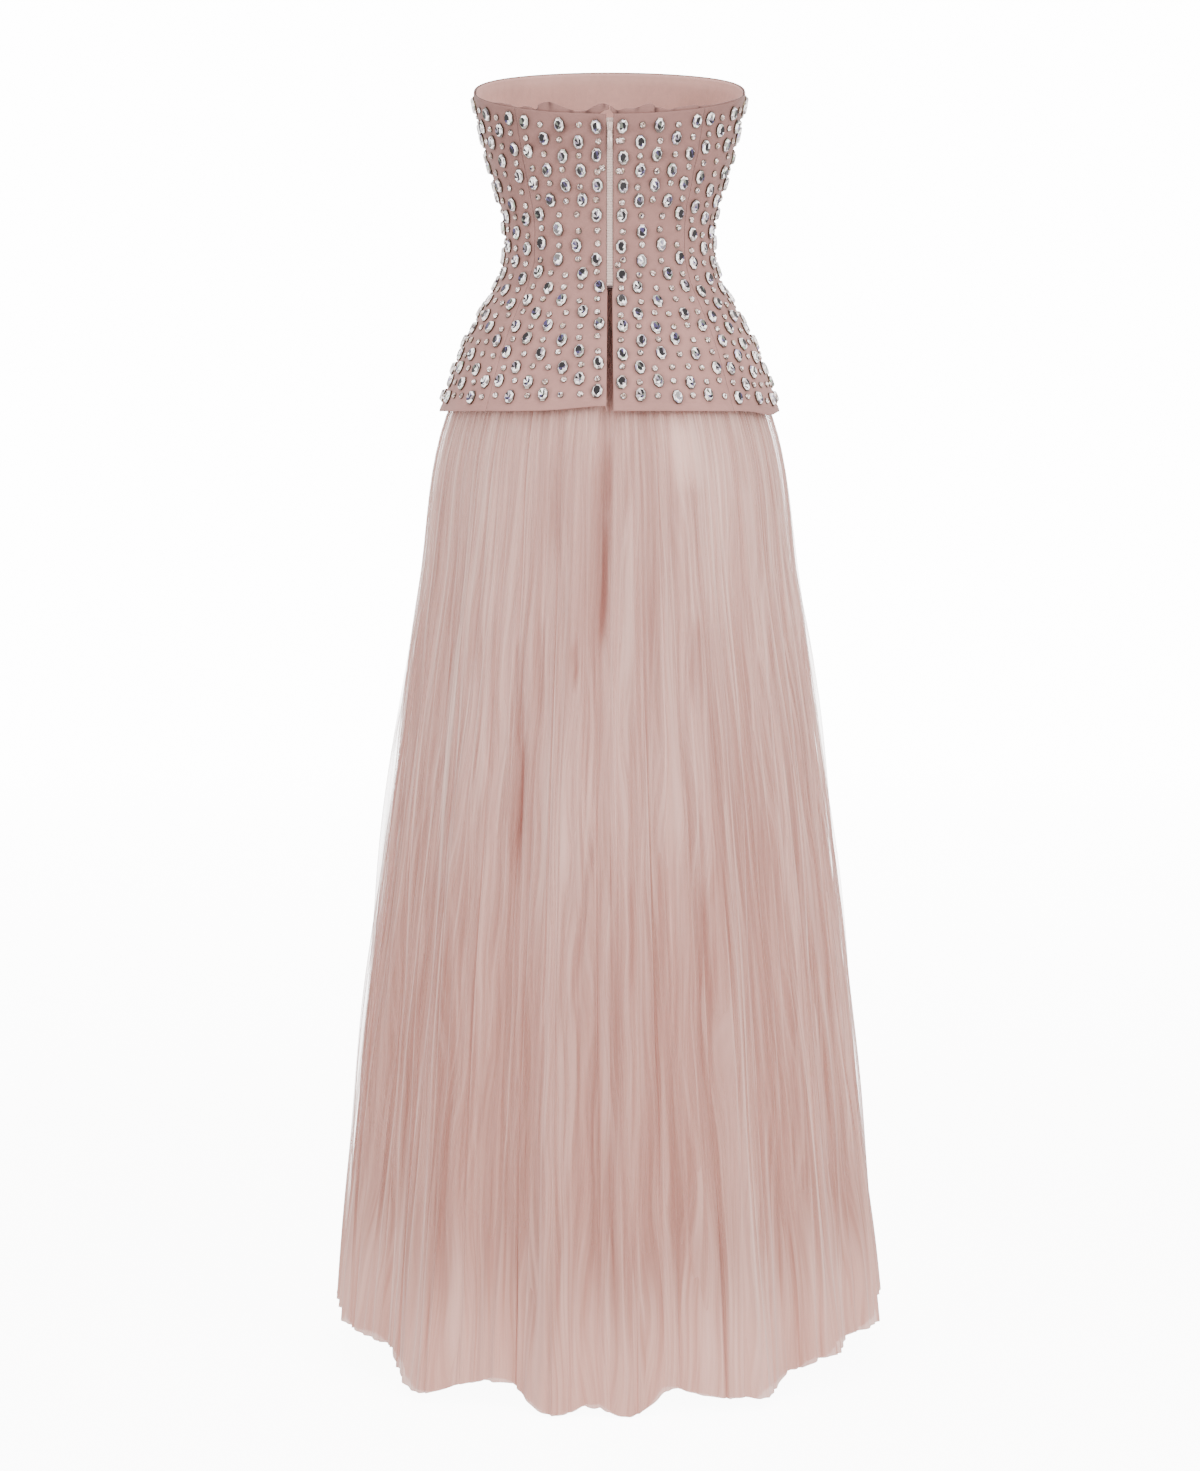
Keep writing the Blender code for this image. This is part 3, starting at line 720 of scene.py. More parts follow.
def set_inputs(node, **values):
    """Fill a node's named inputs; a name's underscores are spaces."""
    for name, value in values.items():
        fill(node.inputs[name.replace("_", " ")], value)


def new_group(name, inputs, outputs):
    """A shader node group with named sockets, what it is given and what it puts out."""
    tree = bpy.data.node_groups.new(name, "ShaderNodeTree")
    for way, sockets in (("INPUT", inputs), ("OUTPUT", outputs)):
        for title, kind in sockets:
            tree.interface.new_socket(name=title, in_out=way, socket_type="NodeSocket" + kind)
    return tree, tree.nodes.new("NodeGroupInput"), tree.nodes.new("NodeGroupOutput")


def math_node(tree, operation, first, second):
    """A maths node; each side is a socket or a number."""
    node = add_node(tree, "Math", operation=operation)
    for socket, value in zip(node.inputs, (first, second)):
        fill(socket, value)
    return node.outputs[0]


def plus(tree, first, second):
    """The sum of two values."""
    return math_node(tree, "ADD", first, second)


def minus(tree, first, second):
    """What is left of one value less another."""
    return math_node(tree, "SUBTRACT", first, second)


def times(tree, first, second):
    """The product of two values."""
    return math_node(tree, "MULTIPLY", first, second)


def mix_colours(tree, share, first, second):
    """A blend of two colours; each is a socket or a colour."""
    node = add_node(tree, "Mix", data_type="RGBA", clamp_factor=False)
    for index, value in ((0, share), (6, first), (7, second)):
        fill(node.inputs[index], value)
    return node.outputs[2]


def spread_values(tree, value, low, high, new_low, new_high):
    """Map a value from one span to another, held at its ends."""
    node = add_node(tree, "MapRange")
    for socket, item in zip(node.inputs, (value, low, high, new_low, new_high)):
        fill(socket, item)
    return node.outputs[0]


def shaded(tree, colour, amount):
    """A colour made lighter or darker by an amount."""
    node = add_node(tree, "VectorMath", operation="SCALE")
    for index, value in ((0, colour), (3, amount)):
        fill(node.inputs[index], value)
    return node.outputs["Vector"]


def noise_over(tree, place, scale, detail, roughness=0.5):
    """A soft noise over a place."""
    node = add_node(tree, "TexNoise")
    set_inputs(node, Vector=place, Scale=scale, Detail=detail, Roughness=roughness)
    return node.outputs["Fac"]


def relief(tree, height, strength, distance):
    """The normal of a surface with a fine relief."""
    node = add_node(tree, "Bump")
    set_inputs(node, Height=height, Strength=strength, Distance=distance)
    return node.outputs["Normal"]


def object_place(tree):
    """Where a point lies in the gown's frame."""
    return add_node(tree, "TexCoord").outputs["Object"]


def parts_of(tree, vector):
    """The three parts of a vector."""
    node = add_node(tree, "SeparateXYZ")
    fill(node.inputs[0], vector)
    return node.outputs


def pattern_place(tree):
    """How far round in pleats, and how far up the skirt, a point of the net lies."""
    return parts_of(tree, add_node(tree, "UVMap", uv_map="pattern").outputs["UV"])


def stored_painted_shade(tree):
    """The painted shade that is stored with a piece's points."""
    return add_node(tree, "Attribute", attribute_name="shade").outputs["Fac"]


SLUB_SCALE = 160.0
CLOUD_SCALE = 14.0
FINE_SHARE = 0.22
CLOUD_SHARE = 0.44
LEAST_TINT = 0.62
WEAVE_RELIEF = 0.4 * MM


def weave_group():
    """Woven cloth: threads both ways, slubs and a soft change of shade."""
    if "woven_cloth" in bpy.data.node_groups:
        return bpy.data.node_groups["woven_cloth"]
    tree, given, out = new_group(
        "woven_cloth", (("Colour", "Color"), ("Thread", "Float"), ("Depth", "Float")),
        (("Colour", "Color"), ("Roughness", "Float"), ("Normal", "Vector")))
    place = object_place(tree)
    threads = []
    for direction in ("DIAGONAL", "Z"):
        wave = add_node(tree, "TexWave", wave_type="BANDS", bands_direction=direction)
        set_inputs(wave, Vector=place, Scale=given.outputs["Thread"], Distortion=1.5,
                   Detail=1.0, Detail_Scale=0.6)
        threads.append(wave.outputs["Fac"])
    slub = noise_over(tree, place, SLUB_SCALE, 4.0, 0.65)
    cloud = noise_over(tree, place, CLOUD_SCALE, 3.0)
    fine = plus(tree, times(tree, times(tree, *threads), 0.5), slub)
    tint = plus(tree, times(tree, fine, FINE_SHARE), times(tree, cloud, CLOUD_SHARE))
    set_inputs(out, Colour=shaded(tree, given.outputs["Colour"], plus(tree, tint, LEAST_TINT)),
               Roughness=spread_values(tree, fine, 0.2, 1.0, 0.55, 0.80),
               Normal=relief(tree, fine, given.outputs["Depth"], WEAVE_RELIEF))
    return tree


# Streaks of the net, in pleats across and skirt lengths down.
# across, lean, down, detail, share
STREAKS = (
    (2.6, 3.4, 2.6, 3.0, 0.32),
    (1.9, -4.2, 3.4, 2.0, 0.26),
    (0.55, 1.2, 1.5, 2.0, 0.24),
    (0.12, 0.2, 1.3, 1.0, 0.18),
)
STREAK_WANDER = 5.0
STREAK_NOISE = (0.32, 0.68)
STREAK_SPAN = (0.27, 0.73)
STREAK_LIMITS = (-0.5, 1.4)
GATHER_SHADE = 1.0
HEM_GATHER_SHADE = 0.40
GATHER_RISE = (0.05, 0.50)
NET_RELIEF = 1.5 * MM


def streak_group():
    """Pleated net: long fine streaks that follow the pleats, partly denser net and partly painted
    light and shade of the pleats, and bands of painted shade.
    """
    if "net_streaks" in bpy.data.node_groups:
        return bpy.data.node_groups["net_streaks"]
    tree, given, out = new_group(
        "net_streaks", (("Light", "Color"), ("Dark", "Color"), ("Layer", "Float")),
        (("Colour", "Color"), ("Streak", "Float"), ("Normal", "Vector")))
    across, down = pattern_place(tree)[:2]

    def noise_at(sideways, lengthways, detail):
        place = add_node(tree, "CombineXYZ")
        set_inputs(place, X=sideways, Y=lengthways, Z=given.outputs["Layer"])
        return noise_over(tree, place.outputs[0], 1.0, detail, 0.6)

    wander = noise_at(times(tree, across, 0.13), times(tree, down, 2.4), 2.0)
    drifted = plus(tree, across, times(tree, wander, STREAK_WANDER))
    clear_streaks = []
    streak = None
    for wide, lean, long, detail, share in STREAKS:
        leaning = plus(tree, times(tree, drifted, wide), times(tree, down, lean))
        noise = noise_at(leaning, times(tree, down, long), detail)
        clear_streaks.append(spread_values(tree, noise, *STREAK_NOISE, 0.0, 1.0))
        part = times(tree, clear_streaks[-1], share)
        streak = part if streak is None else plus(tree, streak, part)
    streak = spread_values(tree, streak, *STREAK_SPAN, 0.0, 1.0)
    # The stored painted gather shade darkens the streaks, with less of it near the hem.
    gathered = spread_values(tree, down, *GATHER_RISE, HEM_GATHER_SHADE, GATHER_SHADE)
    streak = minus(tree, streak, times(tree, stored_painted_shade(tree), gathered))
    streak = spread_values(tree, streak, *STREAK_LIMITS, *STREAK_LIMITS)
    # Dark and light net along the streaks: partly denser net, partly painted shade and light of the
    # pleats.
    colour = mix_colours(tree, streak, given.outputs["Dark"], given.outputs["Light"])
    set_inputs(out, Colour=colour, Streak=streak,
               Normal=relief(tree, clear_streaks[0], 0.5, NET_RELIEF))
    return tree


def new_material(name):
    """A material with its node tree and its shader."""
    material = bpy.data.materials.new(name)
    material.use_nodes = True
    return material, material.node_tree, material.node_tree.nodes["Principled BSDF"]


# Strength of the painted shade stored with the cloth's points: shadow round the stones and in the
# lining's lip creases.
PAINTED_SHADOW_STRENGTH = 0.74
# The height over which painted shade darkens the bodice cloth towards its top.
PAINTED_TOP_SHADE_SPAN = (-0.12, 0.12)


# name: threads_per_metre, relief, sheen, painted_top_shade
CLOTHS = {
    "dusty_satin_crepe": (900.0, 0.35, 0.25, 0.66),
    "lining_satin": (1300.0, 0.18, 0.10, 1.0),
    "zip_tape_weave": (1500.0, 0.5, 0.0, 1.0),
}


def cloth_material(name, colour):
    """Woven cloth in one colour, with painted shadow round the stones and in the lining's lip
    creases, and painted shade towards its top.
    """
    if name in bpy.data.materials:
        return bpy.data.materials[name]
    thread, depth, sheen, painted_top_shade = CLOTHS[name]
    material, tree, shader = new_material(name)
    woven = add_node(tree, "Group", node_tree=weave_group())
    set_inputs(woven, Colour=colour, Thread=thread, Depth=depth)
    painted_shadow_factor = minus(tree, 1.0, times(tree, stored_painted_shade(tree), PAINTED_SHADOW_STRENGTH))
    height = parts_of(tree, object_place(tree))[2]
    # Painted shade: the cloth darker towards its top.
    higher = spread_values(tree, height, *PAINTED_TOP_SHADE_SPAN, 1.0, painted_top_shade)
    set_inputs(shader, Roughness=woven.outputs["Roughness"], Normal=woven.outputs["Normal"],
               Base_Color=shaded(tree, woven.outputs["Colour"], times(tree, painted_shadow_factor, higher)),
               Sheen_Weight=sheen, Sheen_Roughness=0.4, Specular_IOR_Level=0.25)
    return material


def bodice_cloth():
    """The crepe of the bodice panels, which also faces the lip of the lining."""
    return cloth_material("dusty_satin_crepe", colours().cloth)


NET_PALER = 0.34
NET_PALER_SPAN = (-0.75, -0.18)
NET_DEEPER = 0.50
NET_DEEPER_SPAN = (-1.15, -0.50)
LEAST_SLANT = 0.07
# The dense edge of the sheer nets, as shares of the skirt's length up from the hem.
HEM_BAND = (0.20, 0.012)
HEM_COVER = 0.97
# name: light_share, layer, least_cover, most_cover, sheen
NET_LAYERS = {
    "outer_net": (1.00, 0.0, 0.22, 0.42, 0.50),
    "second_net": (0.98, 7.3, 0.28, 0.60, 0.45),
    "inner_net": (0.96, 15.1, 1.00, 1.00, 0.40),
}


def net_cover(tree, streak, least, most):
    """How much a sheer net hides: more in its streaks, at a slant and along its hem."""
    cover = spread_values(tree, streak, 0.15, 0.85, least, most)
    facing = add_node(tree, "LayerWeight")
    set_inputs(facing, Blend=0.5)
    slant = spread_values(tree, facing.outputs["Facing"], 0.0, 1.0, 1.0, LEAST_SLANT)
    clear = math_node(tree, "POWER", minus(tree, 1.0, cover),
                      math_node(tree, "DIVIDE", 1.0, slant))
    hemmed = spread_values(tree, pattern_place(tree)[1], *HEM_BAND, 0.0, 1.0)
    hemmed.node.interpolation_type = "SMOOTHERSTEP"
    dense = add_node(tree, "Mix", data_type="FLOAT")
    for index, value in ((0, hemmed), (2, minus(tree, 1.0, clear)), (3, HEM_COVER)):
        fill(dense.inputs[index], value)
    return dense.outputs[0]


def net_material(name):
    """One layer of pleated net, paler towards the waist and deeper towards the hem."""
    if name in bpy.data.materials:
        return bpy.data.materials[name]
    share, layer, least, most, sheen = NET_LAYERS[name]
    material, tree, shader = new_material(name)
    streaks = add_node(tree, "Group", node_tree=streak_group())
    light, dark = ([value * share for value in colour]
                   for colour in (colours().net_light, colours().net_dark))
    set_inputs(streaks, Light=light, Dark=dark, Layer=layer)
    height = parts_of(tree, object_place(tree))[2]
    high = spread_values(tree, height, *NET_PALER_SPAN, 0.0, NET_PALER)
    paler = mix_colours(tree, high, streaks.outputs["Colour"], colours().net_high)
    low = spread_values(tree, height, *NET_DEEPER_SPAN, NET_DEEPER, 0.0)
    set_inputs(shader, Base_Color=mix_colours(tree, low, paler, colours().net_low),
               Normal=streaks.outputs["Normal"], Roughness=0.85, Specular_IOR_Level=0.15,
               Sheen_Weight=sheen, Sheen_Roughness=0.45)
    if least < 1.0:
        set_inputs(shader, Alpha=net_cover(tree, streaks.outputs["Streak"], least, most))
    return material


# The glass glows with its facets' painted reflections, though it is no lamp.
STONE_PAINTED_GLOW = 1.3
STONE_CLOUD_SCALE = 700.0
STONE_CLOUD = (0.3, 0.7)


def stone_material():
    """Cut glass in thin metal settings; each facet of glass has its own painted reflection and glows
    with it.
    """
    if "cut_glass" in bpy.data.materials:
        return bpy.data.materials["cut_glass"]
    material, tree, shader = new_material("cut_glass")
    facet = add_node(tree, "VertexColor", layer_name="facet")
    noise = noise_over(tree, object_place(tree), STONE_CLOUD_SCALE, 2.0)
    cloudy = spread_values(tree, noise, *STONE_CLOUD, 0.82, 1.06)
    shade = shaded(tree, facet.outputs["Color"], cloudy)
    set_inputs(shader, Base_Color=shade, Metallic=facet.outputs["Alpha"],
               Roughness=spread_values(tree, noise, *STONE_CLOUD, 0.05, 0.14),
               Emission_Color=mix_colours(tree, facet.outputs["Alpha"], shade, (0, 0, 0)),
               Emission_Strength=STONE_PAINTED_GLOW, IOR=1.60, Coat_Weight=0.25,
               Coat_Roughness=0.04)
    return material


HANDLING_SCALE = 380.0
HANDLED_SHADE = 0.82
# name: metallic, least_roughness, most_roughness
TRIMS = {
    "coil_nylon": (0.0, 0.30, 0.50),
    "lacquered_zip_metal": (0.35, 0.22, 0.38),
    "dark_zip_stop": (0.6, 0.35, 0.55),
}


def hard_material(name, colour):
    """Moulded or lacquered hard trim with fine handling marks."""
    metallic, rough_low, rough_high = TRIMS[name]
    material, tree, shader = new_material(name)
    noise = noise_over(tree, object_place(tree), HANDLING_SCALE, 5.0, 0.6)
    worn = spread_values(tree, noise, 0.35, 0.70, 0.0, 0.35)
    handled = [HANDLED_SHADE * value for value in colour]
    set_inputs(shader, Base_Color=mix_colours(tree, worn, colour, handled),
               Roughness=spread_values(tree, noise, 0.3, 0.7, rough_low, rough_high),
               Normal=relief(tree, noise, 0.15, 0.2 * MM), Metallic=metallic)
    return material


# ------------------------------------------------------------ bodice panels
def rolled_edge(reach):
    """How far the cloth rolls in at a distance from its edge."""
    return SEAM_ROLL * max(1.0 - reach / SEAM_ROLL_WIDTH, 0.0) ** 2


def panel_shape(start, end, columns, rows):
    """The rule for one panel's points: seams, hem, neckline, creases and rolled edges."""
    def shape(column, row):
        share = closer_at_ends(column / columns)
        up = closer_at_ends(row / rows)
        angle = start + (end - start) * share
        low, top = peplum_hem(angle), neckline(angle)
        height = low + (top - low) * up
        first, last = seam_angle(start, 1, height), seam_angle(end, -1, height)
        angle = first + (last - first) * share
        roll = rolled_edge(FLAT_RADIUS * min(angle - first, last - angle))
        roll += rolled_edge(min(top - height, height - low))
        stitch = HEM_STITCH_DEPTH * bell(height - low - HEM_STITCH_RISE, HEM_STITCH_WIDTH)
        return body_point(angle, height, -roll - stitch - cloth_crease(angle, height))
    return shape


def paint_shadow_round_stones(panel, shadow_spots):
    """Store how near each point of a panel lies to a stone, for a ring of painted shadow round it.
    """
    tree = KDTree(len(shadow_spots))
    for number, (place, reach) in enumerate(shadow_spots):
        tree.insert(place, number)
    tree.balance()
    layer = panel.data.attributes.new("shade", "FLOAT", "POINT")
    for vert in panel.data.vertices:
        shade = 0.0
        for place, number, away in tree.find_range(vert.co, STONE_SHADOW_REACH):
            shade = max(shade, smooth_step(1.0 - away / (STONE_SHADOW_REACH * shadow_spots[number][1])))
        layer.data[vert.index].value = shade


def stone_rows(start, end):
    """Shares up a panel from hem to neckline at which its rows of stones lie."""
    middle = 0.5 * (start + end)
    top, low = neckline(middle), peplum_hem(middle)
    heights = np.linspace(top, low, 90)
    points = np.array([body_surface(middle, height) for height in heights])
    steps = np.linalg.norm(np.diff(points, axis=0), axis=1)
    lengths = np.concatenate(([0.0], np.cumsum(steps)))
    last = lengths[-1] - HEM_MARGIN
    count = int((last - NECK_MARGIN) / sizes().row_pitch) + 1
    levels = np.interp(np.linspace(NECK_MARGIN, last, count), lengths, heights)
    return [float(level - low) / (top - low) for level in levels]


def sewing_places(start, end):
    """Places in staggered rows over a panel: row, angle and height."""
    middle = 0.5 * (start + end)
    places = []
    for row, share in enumerate(stone_rows(start, end)):
        level = peplum_hem(middle) + (neckline(middle) - peplum_hem(middle)) * share
        first, last = seam_angle(start, 1, level), seam_angle(end, -1, level)
        across = arc_length(level, first, last) - 2.0 * SIDE_MARGIN
        count = int(round(across / sizes().column_pitch))
        for column in range(count + 1):
            aside = PLACE_DRIFT * math.sin(3.7 * row + 2.1 * column + 5.0 * start)
            along = SIDE_MARGIN + across * column / count + aside
            angle = angle_along(level, first, along)
            drift = PLACE_DRIFT * math.sin(2.3 * row + 1.7 * column + 4.0 * start)
            low, top = peplum_hem(angle), neckline(angle)
            places.append((row, angle, low + (top - low) * share + drift))
    return places


def split_places(places):
    """Large stones at every other place, and small ones wherever they still fit."""
    large, small = [], []
    for row, angle, height in places:
        clear = True
        for other_row, other_angle, other_height in large:
            across = abs(arc_length(height, other_angle, angle))
            if other_row == row:
                clear = clear and across > APART_IN_ROW
            elif abs(height - other_height) < APART_DOWN:
                clear = clear and across > APART_ACROSS
        (large if clear else small).append((row, angle, height))
    fitting = [place for place in small if fits_between(place, large)]
    return large, fitting


def fits_between(place, large):
    """Whether a small stone at a place stays clear of every large one."""
    row, angle, height = place
    return not any(abs(height - other_height) < SMALL_CLEAR_DOWN
                   and abs(arc_length(height, other_angle, angle)) < SMALL_CLEAR_ACROSS
                   for other_row, other_angle, other_height in large)


def place_on_cloth(angle, height, spin, sunk):
    """Where a stone stands: its length up the bodice and its table outward."""
    step = 2 * MM
    above = body_surface(angle, height + step)
    below = body_surface(angle, height - step)
    outward = body_normal(angle, height)
    up = (above - below).normalized()
    across = up.cross(outward).normalized()
    up = outward.cross(across)
    frame_matrix = Matrix((across, up, outward)).transposed().to_4x4()
    frame_matrix.translation = body_point(angle, height, -sunk)
    return frame_matrix @ Matrix.Rotation(spin, 4, "Z")


# Steps of a cut stone's outline from its seat up: the setting's wall and lip, then
# the crown up to the table.
# rise, scale
LARGE_STEPS = (
    (0.0028, 1.00),
    (0.0031, 0.87),
    (0.0047, 0.77),
    (0.0059, 0.62),
)
SMALL_STEPS = (
    (0.0024, 1.00),
    (0.0027, 0.82),
    (0.0042, 0.50),
)
TABLE_ZONE = 0
WALL_ZONE = 1
LIP_ZONE = 2
STONE_SIDES = 8
# How far a stone's table is off its middle, as a share of its size.
LARGE_ASIDE = 0.10
SMALL_ASIDE = 0.06
# Share of the painted shadow's reach round a small stone.
SMALL_STONE_SHADOW_REACH = 0.5
PANEL_SEED = 31
SMALL_SEED = 500
STONE_SUNK = 1.5 * MM
STONE_TURN = 0.17


def cut_stone(name, width, length, steps, aside):
    """One cut stone on its seat: a cushion outline raised and stepped in to its table."""
    bm = bmesh.new()
    bmesh.ops.create_circle(bm, cap_ends=True, radius=1.0, segments=STONE_SIDES)
    half_side = math.pi / STONE_SIDES
    bmesh.ops.rotate(bm, verts=bm.verts, matrix=Matrix.Rotation(half_side, 3, "Z"))
    reach = math.cos(half_side)
    scale_out = Vector((0.5 * width / reach, 0.5 * length / reach, 1.0))
    bmesh.ops.scale(bm, verts=bm.verts, vec=scale_out)
    zone_layer = bm.faces.layers.int.new("zone")
    bm.faces.ensure_lookup_table()
    top = bm.faces[0]
    height, before = 0.0, 1.0
    for zone, (rise, scale) in enumerate(steps, start=1):
        known = set(bm.faces)
        raised = bmesh.ops.extrude_face_region(bm, geom=[top])
        top = [item for item in raised["geom"] if isinstance(item, bmesh.types.BMFace)][0]
        shrink = Vector((scale / before, scale / before, 1.0))
        bmesh.ops.scale(bm, verts=top.verts, vec=shrink)
        bmesh.ops.translate(bm, verts=top.verts, vec=Vector((0.0, 0.0, rise - height)))
        for face in bm.faces:
            if face not in known and face is not top:
                face[zone_layer] = zone
        height, before = rise, scale
    crown = [face for face in bm.faces if face is not top and face[zone_layer] > LIP_ZONE]
    bmesh.ops.triangulate(bm, faces=crown)
    poked = bmesh.ops.poke(bm, faces=[top])
    for vert in poked["verts"]:
        vert.co += Vector((aside * width, -aside * length, 0.0))
    for face in poked["faces"]:
        face[zone_layer] = TABLE_ZONE
    seat = [face for face in bm.faces if max(vert.co.z for vert in face.verts) < 1e-6]
    bmesh.ops.delete(bm, geom=seat, context="FACES_ONLY")
    return mesh_of(name, bm)


# Painted reflections and glints of the glass facets: white for the lamps, black where the glass
# mirrors the dark, and faint tints.
# share_up_to, red, green, blue
CROWN_PAINTED_REFLECTIONS = (
    (0.33, 1.00, 0.99, 0.98),
    (0.52, 0.58, 0.54, 0.54),
    (0.76, 0.28, 0.24, 0.23),
    (0.81, 1.00, 0.84, 0.81),
    (0.86, 0.38, 0.31, 0.56),
    (0.90, 0.34, 0.46, 0.34),
    (1.00, 0.04, 0.03, 0.04),
)
TABLE_PAINTED_GLINTS = (
    (0.42, 1.00, 0.99, 0.98),
    (0.72, 0.42, 0.38, 0.40),
    (1.00, 0.18, 0.15, 0.20),
)
TABLE_PAINTED_DARK_REFLECTIONS = (
    (0.76, 0.004, 0.003, 0.005),
    (0.90, 0.04, 0.03, 0.09),
    (1.00, 0.10, 0.11, 0.09),
)
SMALL_PAINTED_REFLECTIONS = (
    (0.17, 1.00, 0.98, 0.97),
    (0.32, 0.90, 0.72, 0.68),
    (0.58, 0.42, 0.30, 0.27),
    (0.80, 0.22, 0.15, 0.13),
    (0.89, 0.34, 0.26, 0.16),
    (1.00, 0.04, 0.03, 0.03),
)
SETTING_SIDE = (0.15, 0.11, 0.07, 1.0)
SETTING_LIP = (0.22, 0.19, 0.17, 1.0)


def pick_shade(rows, share):
    """The painted reflection of a facet from a table of shares."""
    for limit, red, green, blue in rows:
        if share <= limit:
            return red, green, blue, 0.0
    return rows[-1][1:] + (0.0,)


def stone_shades(mesh, crown_rows, light_rows, dark_rows, dark_facets, seed):
    """A rule that gives each facet of glass its painted reflection; settings are metal."""
    zones = [value.value for value in mesh.attributes["zone"].data]
    turns = [math.atan2(face.center.y, face.center.x) for face in mesh.polygons]
    table = sorted((turn_here, index) for index, turn_here in enumerate(turns)
                   if zones[index] == TABLE_ZONE)
    order = {index: place for place, (turn_here, index) in enumerate(table)}

    def shade(number, index):
        zone = zones[index]
        if zone == WALL_ZONE:
            return SETTING_SIDE
        if zone == LIP_ZONE:
            return SETTING_LIP
        if zone != TABLE_ZONE:
            return pick_shade(crown_rows, chance(number + seed, index))
        first = int(STONE_SIDES * chance(number + seed, 1))
        place = (order[index] + first) % STONE_SIDES
        is_dark = place < dark_facets + int(2.0 * chance(number, 2))
        return pick_shade(dark_rows if is_dark else light_rows, chance(number, index))
    return shade


LARGE_ROWS = (CROWN_PAINTED_REFLECTIONS, TABLE_PAINTED_GLINTS, TABLE_PAINTED_DARK_REFLECTIONS, 6)
SMALL_ROWS = (SMALL_PAINTED_REFLECTIONS, SMALL_PAINTED_REFLECTIONS, TABLE_PAINTED_DARK_REFLECTIONS, 1)
# Extra small stones sewn near the zip: side is the distance from the centre back.
# node, side, height
EXTRA_STONES = (
    ("back_right", 0.0080, 0.1085),
    ("back_right", 0.0090, 0.0960),
    ("back_right", 0.0085, 0.0800),
    ("back_right", 0.0092, 0.0660),
    ("back_right", 0.0088, 0.0120),
    ("back_right", 0.0084, -0.0290),
    ("back_left", -0.0080, 0.0900),
    ("back_left", -0.0090, 0.0780),
    ("back_left", -0.0078, 0.0690),
    ("back_left", -0.0086, 0.0560),
    ("back_left", -0.0084, 0.0140),
    ("back_left", -0.0088, -0.0250),
)


# ------------------------------------------------------------------- lining
def lining_top(angle):
    """Top edge of the lining: under the neckline, with a puckered lip at the back."""
    lip = (LIP_HEIGHT + NECK_ROLL) * bell(turn(angle), LIP_SPREAD)
    return neckline(angle) - NECK_ROLL + lip


def pucker_at(angle, column):
    """Sum of the puckers at an angle, for their outward or rise column."""
    return sum(pucker[column] * hump(nearness(angle, *pucker[:2])) for pucker in PUCKERS)


def painted_lip_shade(angle, height):
    """How much painted shade darkens the creases of the lip at a place on the lining."""
    below = neckline(angle) + LIP_HEIGHT - height
    return sum(dark * bell(turn(angle - place * DEG), spread * DEG) * bell(below, reach)
               for place, spread, reach, dark in LIP_CREASE_SHADOWS)


def lining_shape(start, end, columns):
    """The rules for one lining piece: its points, and the painted shade of its creased lip."""
    def edge(angle, side, height):
        if abs(turn(angle)) > 1e-6:
            return angle_along(height, angle, -side * LINING_LAP)
        closing = smooth_step((height - ZIP_TOP) / LIP_CLOSE)
        gap = LINING_START + (LIP_GAP - LINING_START) * closing
        return angle_along(height, angle, side * gap)

    def place_at(column, row):
        top = lining_top(start + (end - start) * column / columns)
        height = LINING_FOOT + (top - LINING_FOOT) * closer_at_ends(row / LINING_ROWS, 0.5)
        low, high = edge(start, 1, height), edge(end, -1, height)
        return low + (high - low) * column / columns, height

    def shade(column, row):
        return painted_lip_shade(*place_at(column, row))

    def shape(column, row):
        angle, height = place_at(column, row)
        near_top = smooth_step((height - neckline(angle) + LIP_REACH) / LIP_REACH)
        depth = LINING_DEPTH + (LINING_TOP_DEPTH - LINING_DEPTH) * near_top
        depth -= pucker_at(angle, 2) * near_top
        soft = LINING_EASE * math.sin(34.0 * angle + 60.0 * height)
        height += pucker_at(angle, 3) * near_top
        return body_point(angle, height, -depth - abs(soft) * (1.0 - near_top))
    return shape, shade


# ------------------------------------------------------------------- skirts
# Uneven soft folds that run down every net layer, from a little under the peplum.
# folds_round, outward, phase, radians_per_metre
SOFT_WAVES = (
    (19, 0.0022, 0.4, 8.164),
    (31, 0.0020, 2.1, -11.932),
    (53, 0.0012, 4.0, 16.328),
)
SOFT_START = 0.02
SOFT_RISE = 0.25
FURROW_END = 0.10
# Deep narrow furrows in the net at the back.
# angle, half_width, depth, top, foot
FURROWS = (
    (358.2, 0.0050, 0.0060, -0.150, -0.470),
    (336.0, 0.0045, 0.0060, -0.470, -0.680),
    (12.0, 0.0040, 0.0035, -0.300, -0.560),
    (24.0, 0.0040, 0.0030, -0.620, -0.900),
    (344.0, 0.0040, 0.0035, -0.800, -1.050),
)
